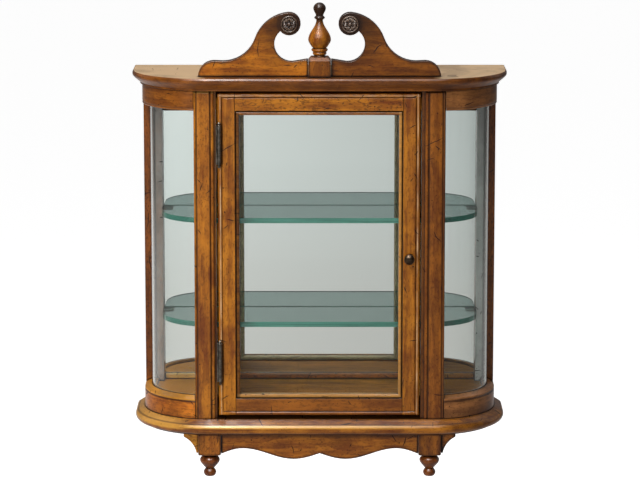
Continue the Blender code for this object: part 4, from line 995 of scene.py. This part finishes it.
# Door: two stiles and two rails of amber wood with a bead round the edge, a mitred bead round the glass, a
# flat pane and stops behind it, and a small bronze knob. A painted highlight runs along the crest of the edge
# bead on the sides and top; the sight bead has painted shade on its left side and top and painted light on
# its right side and bottom.
DOOR_AMBER = (0.475, 0.170, 0.012, 1), AMBER[1]
STOP_TAN = (0.52, 0.38, 0.22, 1), (0.36, 0.26, 0.14, 1)
# Colour of the painted highlight on the edge bead.
CREST_HIGHLIGHT_TAN = (0.68, 0.46, 0.26, 1)
RAIL_ARRIS = 0.0005
BEAD_ARRIS = 0.0004
EDGE_CREST = 0.0036
CREST_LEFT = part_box("door_stile_left")[0][0] + EDGE_CREST
CREST_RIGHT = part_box("door_stile_right")[1][0] - EDGE_CREST
CREST_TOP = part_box("door_top_rail")[1][2] - EDGE_CREST
BEAD_WIDTH = 0.0070
BEAD_SOFT = BEAD_WIDTH * 0.2
BEAD_LOW, BEAD_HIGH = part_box("door_sight_bead")


@mask
def painted_crest_highlight(place):
    """Painted highlight along the crest of the bead on the door's sides and top."""
    x, _, z = parts(place)
    lines = ((x, CREST_LEFT), (x, CREST_RIGHT), (z, CREST_TOP))
    crest = most(*(stripe(along, edge, outer=0.0014, inner=0.0004) for along, edge in lines))
    return crest * rise(noise(place, 30.0, 3.0), 0.20, 0.95)


@mask
def painted_bead_shade(place):
    """Painted shade on the sight bead's left side and top."""
    x, _, z = parts(place)
    left, top = BEAD_LOW[0] + BEAD_WIDTH, BEAD_HIGH[2] - BEAD_WIDTH
    return most(rise(x, left, left - BEAD_SOFT), rise(z, top, top + BEAD_SOFT) * 0.5) * 0.62


@mask
def painted_bead_light(place):
    """Painted light on the sight bead's right side and bottom."""
    x, _, z = parts(place)
    right, foot = BEAD_HIGH[0] - BEAD_WIDTH, BEAD_LOW[2] + BEAD_WIDTH
    return most(rise(x, right, right + BEAD_SOFT), rise(z, foot, foot - BEAD_SOFT)) * 0.42


crest_highlight = {"painted_light": painted_crest_highlight, "pale": CREST_HIGHLIGHT_TAN}
door_upright = wood_finish("door_upright", DOOR_AMBER, ALONG_Z, flecks=0.45, **crest_highlight)
door_level = wood_finish("door_level", AMBER, ALONG_X, flecks=0.8, **crest_highlight)
russet_level = wood_finish("russet_level", RUSSET, ALONG_X, flecks=0.5)
bead_amber = wood_finish("bead_amber", AMBER, ALONG_X, flecks=0.6, shade=painted_bead_shade, painted_light=painted_bead_light)
stop_tan = wood_finish("stop_tan", STOP_TAN, ALONG_X, marks=0.2, flecks=0.3, glaze=0.3, rough=0.6, coat=0.0)
for stile in ("door_stile_left", "door_stile_right"):
    sand(stile, door_upright, "amber_wood", body="door")
sand("door_top_rail", door_level, "amber_wood", arris=RAIL_ARRIS, body="door")
sand("door_bottom_rail", russet_level, "amber_wood", arris=RAIL_ARRIS, body="door")
sand("door_sight_bead", bead_amber, "amber_wood", arris=BEAD_ARRIS, body="door")
sand("door_glass_stops", stop_tan, "inner_wood", body="door")
flat_glass = glass_finish("flat_glass", tint=(0.965, 0.988, 0.978, 1), wave=0.02, wave_scale=6.0, index=1.28,
                          deep=(0.40, 0.80, 0.70, 1), density=3.0)
settle(weld("door_glass", "polished_door_glass"), flat_glass, "clear_glass", "door", "door_glass")

KNOB_ROSE = [(0.0, 0.0058), (0.0009, 0.0058), (0.0012, 0.0056)]
KNOB_KNOTS = [(0.0018, 0.0052, 0.0), (0.0058, 0.0033, 0.0), (0.0125, 0.0078, 0.3)]
KNOB_CROWN = 0.0050
outline = KNOB_ROSE + eased(KNOB_KNOTS, SMALL_STEPS) + dome(*KNOB_KNOTS[-1][:2], KNOB_CROWN, SMALL_STEPS)
knob = turn_on_lathe("turned_door_knob", outline, end_of("door_knob", 1, 1), FRONTWARD)
brown_bronze = aged_bronze("brown_bronze", (0.045, 0.030, 0.020, 1), (0.105, 0.072, 0.048, 1))
settle(knob, brown_bronze, "dark_bronze", "door", "door_knob")

# Hinges and catch: two bronze butt hinges with ball tips, a magnetic catch under the header and its plate on
# the door, all held by slotted screws.
LEAF_ARRIS = 0.0002
LEAF_THICKNESS = 0.0009
HINGE_SCREWS = (-0.021, 0.0, 0.021)
HINGE_SCREW_DEPTH = 0.0075
STRIKE_SCREW_INSET = 0.008
CATCH_SCREW_INSET = 0.006
leaves = [(f"{height}_{side}", body, facing) for height in ("upper", "lower")
          for side, body, facing in (("frame_leaf", "case", 1), ("door_leaf", "door", -1))]
for leaf, body, _ in leaves:
    sand(f"hinge_{leaf}", dark_bronze, "dark_bronze", arris=LEAF_ARRIS, body=body, prefix="filed")
for leaf, body, facing in leaves:
    low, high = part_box(f"hinge_{leaf}")
    plate_x = low[0] + LEAF_THICKNESS if facing > 0 else low[0]
    seats = [(plate_x, high[1] - HINGE_SCREW_DEPTH, (low[2] + high[2]) / 2 + up) for up in HINGE_SCREWS]
    drive(screw, f"hinge_screws_{leaf}", seats, (facing, 0, 0), dark_bronze, "dark_bronze", body)

sand("catch_strike", plated_steel, "plated_steel", arris=FILED_ARRIS, body="door", prefix="filed")
low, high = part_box("catch_strike")
ends = (low[0] + STRIKE_SCREW_INSET, high[0] - STRIKE_SCREW_INSET)
seats = [(x, high[1], (low[2] + high[2]) / 2) for x in ends]
drive(screw, "strike_screws", seats, (0, 1, 0), plated_steel, "plated_steel", "door")
catch_brown = two_toned("catch_brown", (0.055, 0.026, 0.014, 1), (0.085, 0.042, 0.024, 1),
                        spots=(900.0, 2.0), gloss=(0.2, 0.35))
sand("catch_body", catch_brown, "brown_plastic", arris=FILED_ARRIS)
low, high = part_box("catch_body")
ends = (low[0] + CATCH_SCREW_INSET, high[0] - CATCH_SCREW_INSET)
seats = [(x, (low[1] + high[1]) / 2, low[2]) for x in ends]
drive(screw, "catch_screws", seats, (0, 0, -1), plated_steel, "plated_steel", "case")
bpy.data.objects.remove(screw)

# Studio: a wide pale floor well below the hanging cabinet, soft lamps above, to the left and behind, two
# panels that only give the lacquer its gleam, and the camera at the photograph's height. The mirror shows
# the floor, brighter on the left, and the world beyond it.
FLOOR_Z = -1.01
FLOOR_SIZE = 60.0
FLOOR_SHEEN = 0.6
FLOOR_GREY = (0.80, 0.80, 0.80, 1)
NEAR_TONE = (0.91, 0.86, 0.845, 1)
WHITE = (1, 1, 1, 1)
CAMERA_GLOW = 0.8
LEFT_SLOPE, MIDDLE_GLOW, LEAST_GLOW = -0.22, 0.675, 0.5
FAR_SIDES = (4.5, 2.2)
BESIDE_CASE = (0.27, 0.34)
OUTWARD = (0.8, 2.0)
NEAR_FLOOR = (-6.0, -2.8)
bpy.ops.object.select_all(action="DESELECT")
bpy.ops.mesh.primitive_plane_add(size=FLOOR_SIZE, location=(0, 0, FLOOR_Z))
floor = bpy.context.object
floor.name = "studio_floor"
bpy.ops.object.transform_apply(location=True)
pale_floor, tree, shader, place = new_finish("pale_floor")
plug(tree, shader, {"Base Color": FLOOR_GREY, "Roughness": 0.9})
rays = add(tree, "ShaderNodeLightPath")
lit = add(tree, "ShaderNodeEmission", {"Strength": rays["Is Camera Ray"] * CAMERA_GLOW})[0]
plain = add(tree, "ShaderNodeAddShader", {0: Layer(shader.outputs[0]), 1: lit})[0]
# Seen in reflections and through glass, the floor glows: painted light, brighter on the left, fainter far out
# to the sides and a little brighter just beside the cabinet.
x, y, _ = parts(place)
aside = abs(x)
leftward = add(tree, "ShaderNodeClamp", {0: x * LEFT_SLOPE + MIDDLE_GLOW, 1: LEAST_GLOW, 2: 1.0})[0]
wide = (rise(aside, *FAR_SIDES) * 0.75 + 0.25) * (rise(aside, *BESIDE_CASE) * 0.24 + 1.0)
held_back = rise(aside, *OUTWARD) * 0.25 + (1.0 - FLOOR_SHEEN)
dim = 1.0 - (1.0 - rays["Is Transmission Ray"]) * held_back
tone = fade(rise(y, *NEAR_FLOOR), WHITE, NEAR_TONE)
shown = add(tree, "ShaderNodeEmission", {"Color": tone, "Strength": leftward * wide * dim})[0]
indirect = most(rays["Is Glossy Ray"], rays["Is Transmission Ray"])
both = add(tree, "ShaderNodeMixShader", {0: indirect, 1: plain, 2: shown})[0]
under = add(tree, "ShaderNodeBsdfTransparent")[0]
back_face = add(tree, "ShaderNodeNewGeometry")["Backfacing"]
one_way = add(tree, "ShaderNodeMixShader", {0: back_face, 1: both, 2: under})[0]
plug(tree, tree.nodes["Material Output"], {"Surface": one_way})
floor.data.materials.append(pale_floor)

AMBIENT = 0.22
SIDE_SHEEN = 0.5
BACK_SHEEN = 0.12
FRONT_SHEEN = 0.07
TO_THE_SIDE = (-0.05, 0.2)
TO_THE_BACK = (0.45, 0.8)
world = bpy.data.worlds.new("studio")
bpy.context.scene.world = world
world.use_nodes = True
tree = world.node_tree
rays = add(tree, "ShaderNodeLightPath")
_, towards, _ = parts(add(tree, "ShaderNodeTexCoord")["Generated"])
behind = rise(towards, *TO_THE_SIDE)
sheen = behind * (SIDE_SHEEN - FRONT_SHEEN) + (FRONT_SHEEN - AMBIENT)
sheen = sheen + rise(towards, *TO_THE_BACK) * (BACK_SHEEN - SIDE_SHEEN)
through = rays["Is Transmission Ray"] * (behind * (1.0 - AMBIENT))
gloss = rays["Is Glossy Ray"] * (1.0 - rays["Is Transmission Ray"]) * sheen
strength = through + gloss + rays["Is Camera Ray"] * (1.0 - AMBIENT) + AMBIENT
plug(tree, tree.nodes["Background"], {"Color": WHITE, "Strength": strength})


def soft_lamp(name, place, target, width, height, power, **hidden):
    """Rectangular lamp aimed at a target. The hidden settings keep it out of some kinds of ray."""
    lamp = bpy.data.lights.new(name, "AREA")
    lamp.shape = "RECTANGLE"
    lamp.size, lamp.size_y, lamp.energy = width, height, power
    stand = bpy.data.objects.new(name, lamp)
    bpy.context.scene.collection.objects.link(stand)
    stand.location = place
    stand.rotation_euler = (Vector(target) - Vector(place)).to_track_quat("-Z", "Y").to_euler()
    for setting, value in hidden.items():
        setattr(stand, setting, value)


unmirrored = {"visible_glossy": False, "visible_transmission": False}
soft_lamp("key_softbox", (-0.55, -1.3, 1.15), (0, -0.12, -0.25), width=1.3, height=1.1, power=25)
soft_lamp("left_fill", (-1.15, -1.5, -0.35), (0, -0.1, -0.25), width=0.7, height=0.8, power=13, **unmirrored)
soft_lamp("top_softbox", (-0.25, 0.1, 1.6), (0, -0.1, 0), width=1.2, height=0.6, power=8)
soft_lamp("rear_fill", (0.7, 1.7, 0.8), (0, 0, -0.2), width=1.2, height=1.0, power=16, **unmirrored)
for name, x, width, power in (("gleam_panel", 0.0, 1.5, 36), ("left_gleam", -0.34, 0.26, 32)):
    soft_lamp(name, (x, -1.0, 1.25), (x * 0.8, -0.17, -0.48), width, height=1.8, power=power,
              visible_diffuse=False, visible_transmission=False)

CAMERA_PLACE = (0.0006, -4.7225, 0.624)
CAMERA_DIP = 0.178
camera = bpy.data.cameras.new("camera")
camera.lens = 176.7
camera.sensor_width = 36.0
stand = bpy.data.objects.new("camera", camera)
bpy.context.scene.collection.objects.link(stand)
stand.location = CAMERA_PLACE
stand.rotation_euler = (math.pi / 2 - CAMERA_DIP, 0, 0)
bpy.context.scene.camera = stand
bpy.context.scene.view_settings.view_transform = "Standard"
